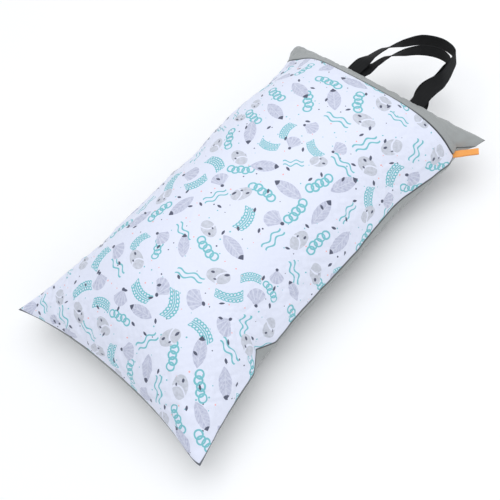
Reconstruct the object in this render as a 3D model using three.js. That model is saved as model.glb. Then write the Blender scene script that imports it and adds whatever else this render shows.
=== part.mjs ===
// A stuffed cloth bag lying on its back: a printed front, a plain yoke above the
// zipper, a plain back, two webbing carrying loops and a small folded tab.
// Millimetres. +Z up, +Y towards the bag's top, +X towards the tab.
// The origin is the middle of the patch that the back rests on.
import * as THREE from "three";

// Driving dimensions of the stuffed bag
const cornerWidth = 386; // between the corner tips, across
const cornerLength = 636; // between the corner tips, along
const sidePullIn = 38.5; // each side seam, at the middle of its length
const bottomPullIn = 26; // the bottom seam, at its middle
const topPullIn = 29; // the top seam, at its middle
const crownHeight = 164; // the inside of the front, over the floor
const sideSeamHeight = 57;
const bottomSeamHeight = 57;
const topSeamHeight = 90;

// Cloth, seams and the zipper
const clothWall = 1.6;
const seamGap = 0.3; // between panels, and from a sewn-in piece to its seam
const yokeWidth = 62; // along the cloth, from the top seam to the zipper
const zipperSlit = 0.8; // between the printed edge and the yoke
const zipperClearance = 0.6; // under the two edges
const tapeWidth = 20;
const tapeThickness = 0.8;
const coilWidth = 5;
const coilHeight = 2;
const sliderWidth = 11;
const sliderHeight = 5;

// Webbing loops and the side tab
const webbingWidth = 25.4;
const webbingThickness = 1.5;
const handleSpacing = 121.6; // between the middles of one loop's two legs
const handleOffset = 19.2; // from the bag's middle to the middle of the loops
const frontHandleReach = 129; // from the top seam to the loop's far end
const frontHandleSideways = 25.5; // of its far end, towards +X
const rearHandleReach = 111.5;
const rearHandleSideways = 33.5;
const rearHandleShift = 6; // the rear loop is sewn in a little to the right
const rearHandleInset = 10.5; // and its legs then run this far inside the front one's
const legReach = 38; // the legs have parted by here
const legParting = 3; // half the height between the loops there
const tabWidth = 11; // along the side seam
const tabReach = 34; // out of the side seam
const tabThickness = 1.2;
const tabDistance = 61; // from the top seam to the tab's middle, along the side
const tabTurn = 38; // degrees, from straight out towards the top
const tabRise = 4; // of its folded end
const tabClearance = 1.4; // from the panels' outside to the tab

// Cross-section shapes: larger powers are fuller, smaller roots are steeper
const acrossPower = 2.3;
const bottomPower = 3.6;
const topPower = 7;
const frontRoot = 0.66;
const restShare = 0.62; // of the half width, where the back lies on the floor
const rollRoot = 0.6;
const kinkPower = { soft: 3, sharp: 8, back: 30 }; // how fast a kink fades inwards

// Mesh steps
const columns = 24;
const panelRows = 24;
const closingRows = 3;
const yokeRows = 8;
const zipRow = panelRows + closingRows;
const lastRow = zipRow + yokeRows;
const panelRowsEnd = 0.62; // where the evenly eased rows stop, along the bag
const rowEasing = 1.6; // rows are closer together next to a seam
const handleSteps = 40;
const sewnShare = 0.14; // of a loop's length, where it still follows its seam
const tabSteps = 6;

// Corner tips: the side, the end, the seam's height there (share of crownHeight)
// and how far the tip is tucked in (share of the half width and half length)
const cornerTips = [
  { side: -1, end: -1, height: 0.355, tuck: 0.0 },
  { side: 1, end: -1, height: 0.3, tuck: 0.02 },
  { side: -1, end: 1, height: 0.3, tuck: 0.03 },
  { side: 1, end: 1, height: 0.365, tuck: 0.004 },
];

// Places where a side seam is drawn in: the side, the place along the bag, half
// its span there, its pull and lift as shares of sidePullIn and sideSeamHeight,
// and whether it is a sharp buckle or a soft one
const seamKinks = [
  { side: 1, along: -0.46, span: 0.085, pull: 0.4, lift: 0.12, sharp: true },
  { side: 1, along: 0.3, span: 0.14, pull: 0.04, lift: 0.03, sharp: false },
  { side: 1, along: 0.87, span: 0.075, pull: 0.28, lift: 0.2, sharp: true },
  { side: -1, along: 0.84, span: 0.17, pull: 0.24, lift: 0.0, sharp: false },
  { side: -1, along: 0.66, span: 0.3, pull: 0.4, lift: -0.08, sharp: false },
  { side: -1, along: 0.06, span: 0.13, pull: 0.16, lift: 0.04, sharp: false },
  { side: -1, along: -0.55, span: 0.1, pull: 0.22, lift: -0.06, sharp: true },
];

// Where the back rolls out under a side seam: the side, the place along the bag,
// half its span there, and how far the seam is drawn in and the back stands out
// (shares of sidePullIn)
const sideRolls = [
  { side: 1, along: 0.42, span: 0.8, inset: 0.0, out: 0.24 },
  { side: 1, along: 0.48, span: 0.22, inset: 0.18, out: 0.0 },
  { side: 1, along: -0.24, span: 0.4, inset: 0.085, out: 0.06 },
  { side: 1, along: -0.7, span: 0.35, inset: 0.0, out: 0.09 },
  { side: -1, along: 0.05, span: 0.9, inset: 0.0, out: 0.2 },
];

// Soft folds of the front: middle (shares of the half width and half length),
// direction from +X in degrees, half length and half width (shares of
// cornerWidth), and depth (share of crownHeight; a ridge has a minus sign)
const frontFolds = [
  { across: -0.62, along: -0.78, turn: 48, half: 0.2, spread: 0.045, depth: 0.03 },
  { across: 0.66, along: -0.74, turn: 128, half: 0.2, spread: 0.045, depth: 0.03 },
  { across: 0.1, along: -0.84, turn: 84, half: 0.12, spread: 0.04, depth: 0.025 },
  { across: -0.28, along: -0.86, turn: 76, half: 0.1, spread: 0.035, depth: 0.02 },
  { across: 0.62, along: -0.44, turn: 172, half: 0.16, spread: 0.04, depth: 0.035 },
  { across: -0.62, along: 0.14, turn: 12, half: 0.14, spread: 0.05, depth: 0.025 },
  { across: -0.56, along: 0.76, turn: 138, half: 0.18, spread: 0.05, depth: 0.03 },
  { across: 0.62, along: 0.72, turn: 42, half: 0.16, spread: 0.05, depth: 0.025 },
  { across: -0.7, along: 0.72, turn: 100, half: 0.15, spread: 0.1, depth: 0.085 },
];

// The top left corner curls up and in: its reach along the diagonal, and its
// lift and inward turn as shares of yokeWidth
const earCurl = { reach: 0.45, lift: 0.08, inward: 0.13 };

// Half a webbing loop, from its base to its far end: across (share of half the
// spacing), out (share of the reach), drop (share of the webbing's width) and the
// twist of the left and the right leg (shares of a quarter turn)
const halfLoop = [
  { across: 1.0, out: 0.0, drop: 0.0, left: 0.0, right: 0.0 },
  { across: 0.995, out: 0.1, drop: 0.0, left: 0.0, right: 0.0 },
  { across: 0.98, out: 0.22, drop: 0.0, left: 0.03, right: 0.03 },
  { across: 0.95, out: 0.36, drop: 0.0, left: 0.365, right: 0.3 },
  { across: 0.93, out: 0.55, drop: 0.0, left: 0.425, right: 0.78 },
  { across: 0.735, out: 0.76, drop: 0.0, left: 0.815, right: 0.865 },
  { across: 0.5, out: 0.93, drop: 0.0, left: 0.96, right: 1.0 },
];
const loopTop = { across: 0.0, out: 1.0, drop: 0.0, twist: 1.0 };
const loopTable = [
  ...halfLoop.map((row) => ({ ...row, across: -row.across, twist: row.left })),
  loopTop,
  ...halfLoop.map((row) => ({ ...row, twist: row.right })).reverse(),
];

const colours = {
  print: 0xe9eef6,
  plainGray: 0xa2a5a3,
  zipperGray: 0x5c6062,
  webbingBlack: 0x17181a,
  tabOrange: 0xf2a94d,
};

const lerp = (a, b, t) => a + (b - a) * t;

// 1 at the middle of a kink or roll and 0 past its span
function kinkShape({ along, span, sharp }, v) {
  const near = Math.max(0, 1 - Math.abs(v - along) / span);
  return sharp ? near : near * near * (3 - 2 * near);
}

// The inset or the outward reach of the rolls on u's side, towards that side
function rolled(u, v, key) {
  const rolls = sideRolls.filter(({ side }) => side * u > 0);
  const share = rolls.reduce((sum, roll) => sum + roll[key] * kinkShape(roll, v), 0);
  return Math.sign(u) * share * sidePullIn * (1 - v ** 4);
}

// How far the front stands over the seam at (u, v), from 0 at a seam to 1.
// u runs across from -1 to 1, and v along from -1 at the bottom to 1 at the top.
function fullness(u, v) {
  const across = Math.max(0, 1 - Math.abs(u) ** acrossPower);
  const along = Math.max(0, 1 - Math.abs(v) ** (v > 0 ? topPower : bottomPower));
  return across * along;
}

// A value of the corner tips, blended over the bag
function fromCorners(u, v, key) {
  return cornerTips.reduce(
    (sum, tip) => sum + (tip[key] * (1 + tip.side * u) * (1 + tip.end * v)) / 4,
    0,
  );
}

function seamHeight(u, v) {
  const corner = crownHeight * fromCorners(u, v, "height");
  const side = sideSeamHeight - crownHeight * fromCorners(u, 0, "height");
  const end = lerp(bottomSeamHeight, topSeamHeight, (v + 1) / 2);
  return corner + side * (1 - v * v) + (end - corner) * (1 - u * u);
}

// The point of the seam surface at (u, v): the panels leave it up and down. A
// sharp kink fades from it inwards by sharpPower.
function seamSurface(u, v, sharpPower = kinkPower.sharp) {
  const halfWidth = cornerWidth / 2 - sidePullIn * (1 - Math.abs(v) ** 3);
  const endPullIn = lerp(bottomPullIn, topPullIn, (v + 1) / 2);
  const halfLength = cornerLength / 2 - endPullIn * (1 - Math.abs(u) ** 2.5);
  const tuck = 1 - fromCorners(u, v, "tuck") * Math.abs(u * v) ** 16;
  const point = new THREE.Vector3(u * halfWidth * tuck, v * halfLength * tuck, seamHeight(u, v));
  point.x -= rolled(u, v, "inset") * u ** 4;
  for (const kink of seamKinks) {
    if (u * kink.side <= 0) continue;
    const amount = kinkShape(kink, v) * Math.abs(u) ** (kink.sharp ? sharpPower : kinkPower.soft);
    point.x -= kink.side * kink.pull * sidePullIn * amount;
    point.z += kink.lift * sideSeamHeight * amount;
  }
  const toCorner = Math.max(0, v - u - 2 + earCurl.reach) / earCurl.reach;
  point.z += earCurl.lift * yokeWidth * toCorner ** 2;
  point.x += earCurl.inward * yokeWidth * toCorner ** 2;
  return point;
}

function foldDepth(point) {
  let depth = 0;
  for (const fold of frontFolds) {
    const x = point.x - (fold.across * cornerWidth) / 2;
    const y = point.y - (fold.along * cornerLength) / 2;
    const turn = THREE.MathUtils.degToRad(fold.turn);
    const lengthways = (x * Math.cos(turn) + y * Math.sin(turn)) / (fold.half * cornerWidth);
    const sideways = (y * Math.cos(turn) - x * Math.sin(turn)) / (fold.spread * cornerWidth);
    depth += fold.depth * crownHeight * Math.exp(-(lengthways ** 2) - sideways ** 2);
  }
  return depth;
}

// The inside of the front and yoke
function frontPoint(u, v) {
  const point = seamSurface(u, v);
  const full = fullness(u, v);
  point.z = lerp(point.z + seamGap / 2, crownHeight, full ** frontRoot);
  point.z -= foldDepth(point) * Math.min(1, 2 * full);
  return point;
}

// The inside of the back: it rolls out past the side seams, comes down and lies
// flat on the floor
function backPoint(u, v) {
  const point = seamSurface(u, v, kinkPower.back);
  const inward = Math.min(1, (1 - Math.abs(u)) / (1 - restShare));
  point.x += rolled(u, v, "out") * Math.sin(Math.PI * inward ** rollRoot);
  const down = Math.min(1, fullness(u, v) / fullness(restShare, 0));
  const settle = 1 - (1 - down) ** 2;
  point.z = lerp(point.z - seamGap / 2, clothWall, settle);
  return point;
}

// Where the zipper crosses column u: yokeWidth of cloth below the top seam
function zipperPlace(u) {
  const step = 0.002;
  let v = 1;
  let length = 0;
  let last = frontPoint(u, v);
  while (length < yokeWidth && v > panelRowsEnd) {
    v -= step;
    const next = frontPoint(u, v);
    length += next.distanceTo(last);
    last = next;
  }
  return v;
}

const columnPlaces = Array.from({ length: columns + 1 }, (_, i) =>
  Math.sin((Math.PI / 2) * ((2 * i) / columns - 1)),
);
const zipperPlaces = columnPlaces.map(zipperPlace);

function rowPlace(column, row) {
  const zip = zipperPlaces[column];
  if (row <= panelRows) {
    return -1 + (panelRowsEnd + 1) * (row / panelRows) ** rowEasing;
  }
  if (row < zipRow) {
    const tapeEdge = zip - tapeWidth / cornerLength;
    return lerp(panelRowsEnd, tapeEdge, (row - panelRows) / (closingRows - 1));
  }
  const t = (row - zipRow) / yokeRows;
  return lerp(zip, 1, 1 - (1 - t) ** rowEasing);
}

// A grid of points, grid[column][row], on one of the two surfaces
function surfaceGrid(surface, firstRow, endRow) {
  return columnPlaces.map((u, column) => {
    const line = [];
    for (let row = firstRow; row <= endRow; row += 1) {
      line.push(surface(u, rowPlace(column, row)));
    }
    return line;
  });
}

// Moves one end of each grid column along the cloth, to leave a slit there
function trimRow(grid, row, nextRow, distance) {
  for (const line of grid) {
    const step = line[nextRow].clone().sub(line[row]).setLength(distance);
    line[row].add(step);
  }
}

function gridNormals(grid, sign) {
  const last = grid.length - 1;
  const end = grid[0].length - 1;
  return grid.map((line, i) =>
    line.map((_, j) => {
      const across = grid[Math.min(i + 1, last)][j].clone().sub(grid[Math.max(i - 1, 0)][j]);
      const along = grid[i][Math.min(j + 1, end)].clone().sub(grid[i][Math.max(j - 1, 0)]);
      return across.cross(along).normalize().multiplyScalar(sign);
    }),
  );
}

// A closed solid between two grids of the same size; outer lies on the side that
// the cross product of column and row steps points to, or the other for sign -1
function solidBetween(outer, inner, sign) {
  const across = outer.length;
  const along = outer[0].length;
  const corner = (layer, i, j) => (layer * across + i) * along + j;
  const triangles = [];
  const quad = (a, b, c, d) => {
    if (sign > 0) triangles.push(a, b, c, a, c, d);
    else triangles.push(a, c, b, a, d, c);
  };
  for (let i = 0; i + 1 < across; i += 1) {
    for (let j = 0; j + 1 < along; j += 1) {
      quad(corner(0, i, j), corner(0, i + 1, j), corner(0, i + 1, j + 1), corner(0, i, j + 1));
      quad(corner(1, i, j), corner(1, i, j + 1), corner(1, i + 1, j + 1), corner(1, i + 1, j));
    }
    const top = along - 1;
    quad(corner(0, i, 0), corner(1, i, 0), corner(1, i + 1, 0), corner(0, i + 1, 0));
    quad(corner(0, i, top), corner(0, i + 1, top), corner(1, i + 1, top), corner(1, i, top));
  }
  for (let j = 0; j + 1 < along; j += 1) {
    const side = across - 1;
    quad(corner(0, 0, j), corner(0, 0, j + 1), corner(1, 0, j + 1), corner(1, 0, j));
    quad(corner(0, side, j), corner(1, side, j), corner(1, side, j + 1), corner(0, side, j + 1));
  }
  return geometryOf([...outer.flat(), ...inner.flat()], triangles);
}

function geometryOf(points, triangles) {
  const geometry = new THREE.BufferGeometry();
  const places = points.flatMap((point) => point.toArray());
  geometry.setAttribute("position", new THREE.Float32BufferAttribute(places, 3));
  geometry.setIndex(triangles);
  geometry.computeVertexNormals();
  return geometry;
}

// A cloth panel: the grid is its inside, and its wall stands outwards of that. At
// a seam the wall's edge points straight out, so that two panels meet in a mitre.
function clothPanel(grid, sign, { bottomSeam, topSeam }) {
  const normals = gridNormals(grid, sign);
  const last = grid.length - 1;
  const end = grid[0].length - 1;
  normals.forEach((line, i) =>
    line.forEach((normal, j) => {
      const right = (i === last) - (i === 0);
      const up = (topSeam && j === end) - (bottomSeam && j === 0);
      if (right || up) normal.set(right, up, 0).normalize();
    }),
  );
  const outer = grid.map((line, i) =>
    line.map((point, j) => point.clone().addScaledVector(normals[i][j], clothWall)),
  );
  return solidBetween(outer, grid, sign);
}

// A bar whose section, a ring of points at each step, runs along a path
function sweptBar(sections) {
  const sides = sections[0].length;
  const triangles = [];
  for (let k = 0; k + 1 < sections.length; k += 1) {
    for (let s = 0; s < sides; s += 1) {
      const a = k * sides + s;
      const b = k * sides + ((s + 1) % sides);
      triangles.push(a, b, a + sides, b, b + sides, a + sides);
    }
  }
  const end = (sections.length - 1) * sides;
  const cap = THREE.ShapeUtils.triangulateShape(flattened(sections[0]), []);
  for (const [a, b, c] of cap) triangles.push(a, c, b, end + a, end + b, end + c);
  return geometryOf(sections.flat(), triangles);
}

// A section ring in its own plane, for the caps
function flattened(ring) {
  const origin = ring[0];
  const right = ring[1].clone().sub(origin).normalize();
  let normal = new THREE.Vector3();
  for (let s = 1; s + 1 < ring.length; s += 1) {
    const a = ring[s].clone().sub(origin);
    normal = normal.add(a.cross(ring[s + 1].clone().sub(origin)));
  }
  const up = normal.normalize().cross(right);
  return ring.map((point) => {
    const away = point.clone().sub(origin);
    return new THREE.Vector2(away.dot(right), away.dot(up));
  });
}

function frontPanelGeometry() {
  const grid = surfaceGrid(frontPoint, 0, zipRow);
  trimRow(grid, zipRow, zipRow - 1, zipperSlit / 2);
  return clothPanel(grid, 1, { bottomSeam: true, topSeam: false });
}

function yokeGeometry() {
  const grid = surfaceGrid(frontPoint, zipRow, lastRow);
  trimRow(grid, 0, 1, zipperSlit / 2);
  return clothPanel(grid, 1, { bottomSeam: false, topSeam: true });
}

function backPanelGeometry() {
  const grid = surfaceGrid(backPoint, 0, lastRow);
  return clothPanel(grid, -1, { bottomSeam: true, topSeam: true });
}

// The closed zipper under the slit: a tape, a coil and, near its left end, a slider
function zipperGeometry() {
  const grid = surfaceGrid(frontPoint, zipRow - 1, zipRow + 1);
  const firstColumn = 3;
  const sliderColumns = [4, 5];
  const sections = [];
  for (let i = firstColumn; i <= columns - firstColumn; i += 1) {
    const [below, middle, above] = grid[i];
    const run = grid[i + 1][1].clone().sub(grid[i - 1][1]).normalize();
    const down = below.clone().sub(middle).normalize();
    const up = above.clone().sub(middle).normalize();
    const inDown = run.clone().cross(down).normalize();
    const inUp = up.clone().cross(run).normalize();
    const inward = inDown.clone().add(inUp).normalize();
    const slider = sliderColumns.includes(i);
    const ridgeHalf = (slider ? sliderWidth : coilWidth) / 2;
    const ridgeDepth = zipperClearance + tapeThickness + (slider ? sliderHeight : coilHeight);
    const at = (direction, along, normal, depth) =>
      middle.clone().addScaledVector(direction, along).addScaledVector(normal, depth);
    const tapeDepth = zipperClearance + tapeThickness;
    sections.push([
      at(down, tapeWidth / 2, inDown, zipperClearance),
      at(down, tapeWidth / 2, inDown, tapeDepth),
      at(down, ridgeHalf, inDown, tapeDepth),
      at(down, ridgeHalf, inward, ridgeDepth),
      at(up, ridgeHalf, inward, ridgeDepth),
      at(up, ridgeHalf, inUp, tapeDepth),
      at(up, tapeWidth / 2, inUp, tapeDepth),
      at(up, tapeWidth / 2, inUp, zipperClearance),
      at(down, 0, inward, zipperClearance),
    ]);
  }
  return sweptBar(sections);
}

// The top seam's middle line at a distance x from the bag's middle
function topSeamPoint(x) {
  let u = (2 * x) / cornerWidth;
  for (let pass = 0; pass < 12; pass += 1) u += (2 * (x - seamSurface(u, 1).x)) / cornerWidth;
  return seamSurface(u, 1);
}

// A webbing loop. level is 1 for the upper of the two and -1 for the lower, which
// is sewn in to one side by shift and whose legs run further in by inset
function handleGeometry({ reach, sideways, shift, inset, level }) {
  const half = handleSpacing / 2;
  const seams = [-half, half].map((x) => seamStretch(handleOffset + shift + x));
  const clear = clothWall + seamGap;
  const route = loopTable.map(({ across, out, drop }) => {
    const start = seams[0].middle.clone().lerp(seams[1].middle, (across + 1) / 2);
    const free = THREE.MathUtils.smoothstep(out * reach, 0, legReach);
    const parting = legParting * Math.sin(Math.PI * Math.min(1, (out * reach) / (2 * legReach)));
    const lift = level * ((webbingThickness + seamGap) / 2 + parting);
    return new THREE.Vector3(
      handleOffset + shift * (1 - free) + across * (half - inset * free) + sideways * out ** 2,
      start.y + clear + out * (reach - clear),
      start.z + lift - drop * webbingWidth,
    );
  });
  const path = new THREE.CatmullRomCurve3(route, false, "centripetal");
  const sections = [];
  for (let k = 0; k <= handleSteps; k += 1) {
    const t = k / handleSteps;
    const centre = path.getPoint(t);
    const forward = path.getTangent(t);
    const place = t * (loopTable.length - 1);
    const index = Math.min(Math.floor(place), loopTable.length - 2);
    const twist = lerp(loopTable[index].twist, loopTable[index + 1].twist, place - index);
    const angle = (twist * Math.PI) / 2;
    const flat = new THREE.Vector3(forward.y, -forward.x, 0).normalize();
    const turned = flat.multiplyScalar(Math.cos(angle)).setZ(Math.sin(angle));
    const sewn = t < 0.5 ? seams[0].direction.clone() : seams[1].direction.clone().negate();
    const loose = THREE.MathUtils.smoothstep(Math.min(t, 1 - t), 0, sewnShare);
    const wide = sewn.lerp(turned, loose).normalize();
    const face = wide.clone().cross(forward).normalize();
    sections.push(webbingSection(centre, wide, face));
  }
  return sweptBar(sections);
}

// The stretch of the top seam that a leg of a loop is sewn into
function seamStretch(x) {
  const left = topSeamPoint(x - webbingWidth / 2);
  const right = topSeamPoint(x + webbingWidth / 2);
  return { middle: left.clone().lerp(right, 0.5), direction: right.sub(left).normalize() };
}

function webbingSection(centre, wide, face) {
  const corners = [
    [-1, -1],
    [-1, 1],
    [1, 1],
    [1, -1],
  ];
  return corners.map(([side, level]) =>
    centre
      .clone()
      .addScaledVector(wide, (side * webbingWidth) / 2)
      .addScaledVector(face, (level * webbingThickness) / 2),
  );
}

// The point of the right side seam at a distance along it from the top corner
function sideSeamPoint(distance) {
  const step = 0.002;
  let v = 1;
  let length = 0;
  let last = seamSurface(1, v);
  while (length < distance) {
    v -= step;
    const next = seamSurface(1, v);
    length += next.distanceTo(last);
    last = next;
  }
  return last;
}

// The folded tab: its two layers leave the right side seam beside the yoke and
// meet in a rounded fold
function tabGeometry() {
  const root = sideSeamPoint(tabDistance);
  const above = sideSeamPoint(tabDistance - tabWidth / 2);
  const sewn = above.clone().sub(sideSeamPoint(tabDistance + tabWidth / 2)).normalize();
  const turn = THREE.MathUtils.degToRad(tabTurn);
  const out = new THREE.Vector3(Math.cos(turn), Math.sin(turn), 0);
  const level = new THREE.Vector3(-out.y, out.x, 0);
  const start = clothWall + tabClearance;
  const sections = [];
  for (let k = 0; k <= tabSteps; k += 1) {
    const t = k / tabSteps;
    const centre = root.clone().addScaledVector(out, start + t * tabReach);
    centre.z += tabRise * t;
    const wide = sewn.clone().lerp(level, THREE.MathUtils.smoothstep(t, 0, 0.5)).normalize();
    const face = out.clone().cross(wide).normalize();
    const thick = k === tabSteps ? tabThickness / 2 : tabThickness;
    const at = (side, up) =>
      centre
        .clone()
        .addScaledVector(wide, (side * tabWidth) / 2)
        .addScaledVector(face, (up * thick) / 2);
    sections.push([at(1, -1), at(1, 1), at(-1, 1), at(-1, -1)]);
  }
  return sweptBar(sections);
}

function piece(name, geometry, color, roughness) {
  const material = new THREE.MeshStandardMaterial({ color, roughness, metalness: 0 });
  const mesh = new THREE.Mesh(geometry, material);
  mesh.name = name;
  return mesh;
}

const frontLoop = {
  reach: frontHandleReach,
  sideways: frontHandleSideways,
  shift: 0,
  inset: 0,
  level: 1,
};
const rearLoop = {
  reach: rearHandleReach,
  sideways: rearHandleSideways,
  shift: rearHandleShift,
  inset: rearHandleInset,
  level: -1,
};

const bag = new THREE.Group();
bag.add(
  piece("front_panel", frontPanelGeometry(), colours.print, 0.7),
  piece("front_yoke", yokeGeometry(), colours.plainGray, 0.75),
  piece("back_panel", backPanelGeometry(), colours.plainGray, 0.75),
  piece("zipper", zipperGeometry(), colours.zipperGray, 0.6),
  piece("handle_front", handleGeometry(frontLoop), colours.webbingBlack, 0.85),
  piece("handle_rear", handleGeometry(rearLoop), colours.webbingBlack, 0.85),
  piece("side_tab", tabGeometry(), colours.tabOrange, 0.6),
);

export default bag;
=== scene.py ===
"""A stuffed, waterproof cloth bag that lies on its back, dressed over its solids.

The bag's own shape is worked out here from its driving sizes, in metres, as the
solids' is. The front and the back are cut flat in the cloth's own measure, laid on
the filling and let go as cloth, so that the spare cloth gathers at the seams.
"""

import logging
import math
from dataclasses import dataclass, field
from enum import Enum
from functools import partial, reduce
from typing import Callable, Iterable, Sequence

import bpy
import numpy as np
from mathutils import Matrix, Vector

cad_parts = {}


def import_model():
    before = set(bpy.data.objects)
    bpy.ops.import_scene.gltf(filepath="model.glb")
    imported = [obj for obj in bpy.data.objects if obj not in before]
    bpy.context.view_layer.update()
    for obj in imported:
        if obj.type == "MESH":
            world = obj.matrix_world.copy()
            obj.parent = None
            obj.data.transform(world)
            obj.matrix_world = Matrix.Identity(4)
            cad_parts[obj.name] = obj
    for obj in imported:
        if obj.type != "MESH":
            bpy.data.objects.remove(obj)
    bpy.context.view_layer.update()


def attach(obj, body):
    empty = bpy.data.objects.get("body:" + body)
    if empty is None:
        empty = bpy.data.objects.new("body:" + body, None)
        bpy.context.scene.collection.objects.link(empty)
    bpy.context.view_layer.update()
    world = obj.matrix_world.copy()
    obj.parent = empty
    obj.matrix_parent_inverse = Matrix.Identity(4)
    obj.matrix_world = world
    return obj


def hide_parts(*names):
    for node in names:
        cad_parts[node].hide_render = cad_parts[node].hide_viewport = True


LOG = logging.getLogger("wet_bag")
MM = 0.001
BODY = "root"
NEAR_EDGE = (0, 0.09, 0.22, 0.42, 0.7)

Input = float | tuple | bpy.types.Node | bpy.types.NodeSocket


# Small helpers


def linear(hex_colour: str) -> tuple[float, float, float, float]:
    """Turns an sRGB hex colour into the linear colour that nodes and lights use.

    Args:
        hex_colour: six hex digits with a leading hash.

    Returns:
        Red, green, blue and an alpha of one.
    """
    digits = hex_colour.lstrip("#")
    values = []
    for start in (0, 2, 4):
        value = int(digits[start : start + 2], 16) / 255
        values.append(value / 12.92 if value <= 0.04045 else ((value + 0.055) / 1.055) ** 2.4)
    return (*values, 1.0)


def smooth_step(value: np.ndarray, low: float, high: float) -> np.ndarray:
    """Eases from 0 at low to 1 at high."""
    share = np.clip((value - low) / (high - low), 0.0, 1.0)
    return share * share * (3 - 2 * share)


def unit(vectors: np.ndarray) -> np.ndarray:
    """Vectors brought to a length of one."""
    return vectors / np.linalg.norm(vectors, axis=-1, keepdims=True)


def arc_lengths(points: np.ndarray, axis: int = 0) -> np.ndarray:
    """Running length along a line of points, or along one axis of a grid.

    Args:
        points: the points.
        axis: the axis to measure along.

    Returns:
        The lengths, from 0 at the start.
    """
    steps = np.linalg.norm(np.diff(points, axis=axis), axis=-1)
    start = np.zeros_like(np.take(steps, [0], axis=axis))
    return np.concatenate([start, np.cumsum(steps, axis=axis)], axis=axis)


def four_around(values: np.ndarray, start: np.ndarray) -> Iterable[np.ndarray]:
    """The value before each place, the two that it lies between, and the one after.

    Args:
        values: at least two values, of any shape, in a row.
        start: for each place, the number of the last value that isn't past it.

    Returns:
        Four arrays. Past the row's ends the values go straight on.
    """
    before, after = 2 * values[0] - values[1], 2 * values[-1] - values[-2]
    padded = np.concatenate([before[None], values, after[None]])
    return (padded[start + shift] for shift in range(4))


def between(values: np.ndarray, places: np.ndarray, axis: int) -> np.ndarray:
    """Reads a grid at fractional places along one axis, by smooth curves.

    Args:
        values: the grid.
        places: where to read it, in grid steps.
        axis: the axis that the places are along.

    Returns:
        The grid with the places in that axis' stead.
    """
    values = np.moveaxis(values, axis, 0)
    start = np.clip(np.floor(places).astype(int), 0, len(values) - 2)
    share = (places - start).reshape(-1, *[1] * (values.ndim - 1))
    p0, p1, p2, p3 = four_around(values, start)
    result = 0.5 * (
        2 * p1
        + (p2 - p0) * share
        + (2 * p0 - 5 * p1 + 4 * p2 - p3) * share**2
        + (3 * p1 - p0 - 3 * p2 + p3) * share**3
    )
    return np.moveaxis(result, 0, axis)


def curve_at(points: np.ndarray, places: np.ndarray) -> np.ndarray:
    """Reads a centripetal curve through some points.

    Args:
        points: the points that it passes through, (rows, 3).
        places: where to read it, as shares of its rows.

    Returns:
        One point for each place.
    """
    along = places * (len(points) - 1)
    start = np.clip(np.floor(along).astype(int), 0, len(points) - 2)
    share = (along - start)[:, None]
    p0, p1, p2, p3 = four_around(points, start)
    pairs = ((p0, p1), (p1, p2), (p2, p3))
    d0, d1, d2 = (np.sqrt(np.linalg.norm(b - a, axis=-1))[:, None] for a, b in pairs)
    t1 = ((p1 - p0) / d0 - (p2 - p0) / (d0 + d1) + (p2 - p1) / d1) * d1
    t2 = ((p2 - p1) / d1 - (p3 - p1) / (d1 + d2) + (p3 - p2) / d2) * d1
    square = (3 * (p2 - p1) - 2 * t1 - t2) * share**2
    return p1 + t1 * share + square + (2 * (p1 - p2) + t1 + t2) * share**3


def grid_normals(points: np.ndarray) -> np.ndarray:
    """Unit normals of a grid of points: its across direction cross its along one."""
    return unit(np.cross(np.gradient(points, axis=0), np.gradient(points, axis=1)))


def deselect() -> None:
    """Deselects every object, so that an operator acts on what it is meant for."""
    bpy.ops.object.select_all(action="DESELECT")


def make_active(obj: bpy.types.Object) -> None:
    """Selects one object alone and makes it the active one.

    Args:
        obj: the object.
    """
    deselect()
    obj.select_set(True)
    bpy.context.view_layer.objects.active = obj


def grid_object(name: str, points: np.ndarray, uv: np.ndarray | None = None) -> bpy.types.Object:
    """Makes a quad mesh from a grid of points.

    Args:
        name: the object's name.
        points: an array (across, along, 3), in metres.
        uv: the cloth's own measure at each point, (across, along, 2), in metres.

    Returns:
        The new object, at the origin.
    """
    across, along = points.shape[:2]
    deselect()
    bpy.ops.mesh.primitive_grid_add(x_subdivisions=along - 1, y_subdivisions=across - 1, size=1)
    obj = bpy.context.object
    obj.name = obj.data.name = name
    obj.data.vertices.foreach_set("co", points.reshape(-1, 3).astype(np.float32).ravel())
    layer = obj.data.uv_layers.active or obj.data.uv_layers.new()
    layer.name = "cloth"
    if uv is not None:
        corners = np.empty(len(obj.data.loops), dtype=np.int32)
        obj.data.loops.foreach_get("vertex_index", corners)
        layer.data.foreach_set("uv", uv.reshape(-1, 2)[corners].astype(np.float32).ravel())
    obj.data.update()
    return obj


def strip_object(
    name: str, middles: np.ndarray, wide: np.ndarray, across: np.ndarray, start: float
) -> bpy.types.Object:
    """Makes a strip of webbing or ribbon, measured along its own length.

    Args:
        name: the object's name.
        middles: points of its middle line, (steps, 3).
        wide: the direction of its width at each of them.
        across: distances of its lengthwise lines from the middle one.
        start: where the middle line stands in the strip's measure.

    Returns:
        The strip, without thickness.
    """
    points = middles[:, None] + wide[:, None] * across[None, :, None]
    measure = np.broadcast_arrays(across[None] + start, arc_lengths(middles)[:, None])
    return grid_object(name, points, np.stack(measure, axis=-1))


def thicken(obj: bpy.types.Object, thickness: float, offset: float = 0.0) -> bpy.types.Modifier:
    """Gives a sheet its thickness, to both sides of it or, with an offset of -1, inwards.

    Args:
        obj: the sheet.
        thickness: its thickness.
        offset: 0 for both sides, -1 for inwards.

    Returns:
        The modifier.
    """
    wall = obj.modifiers.new("thickness", "SOLIDIFY")
    wall.thickness, wall.offset = thickness, offset
    return wall


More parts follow.
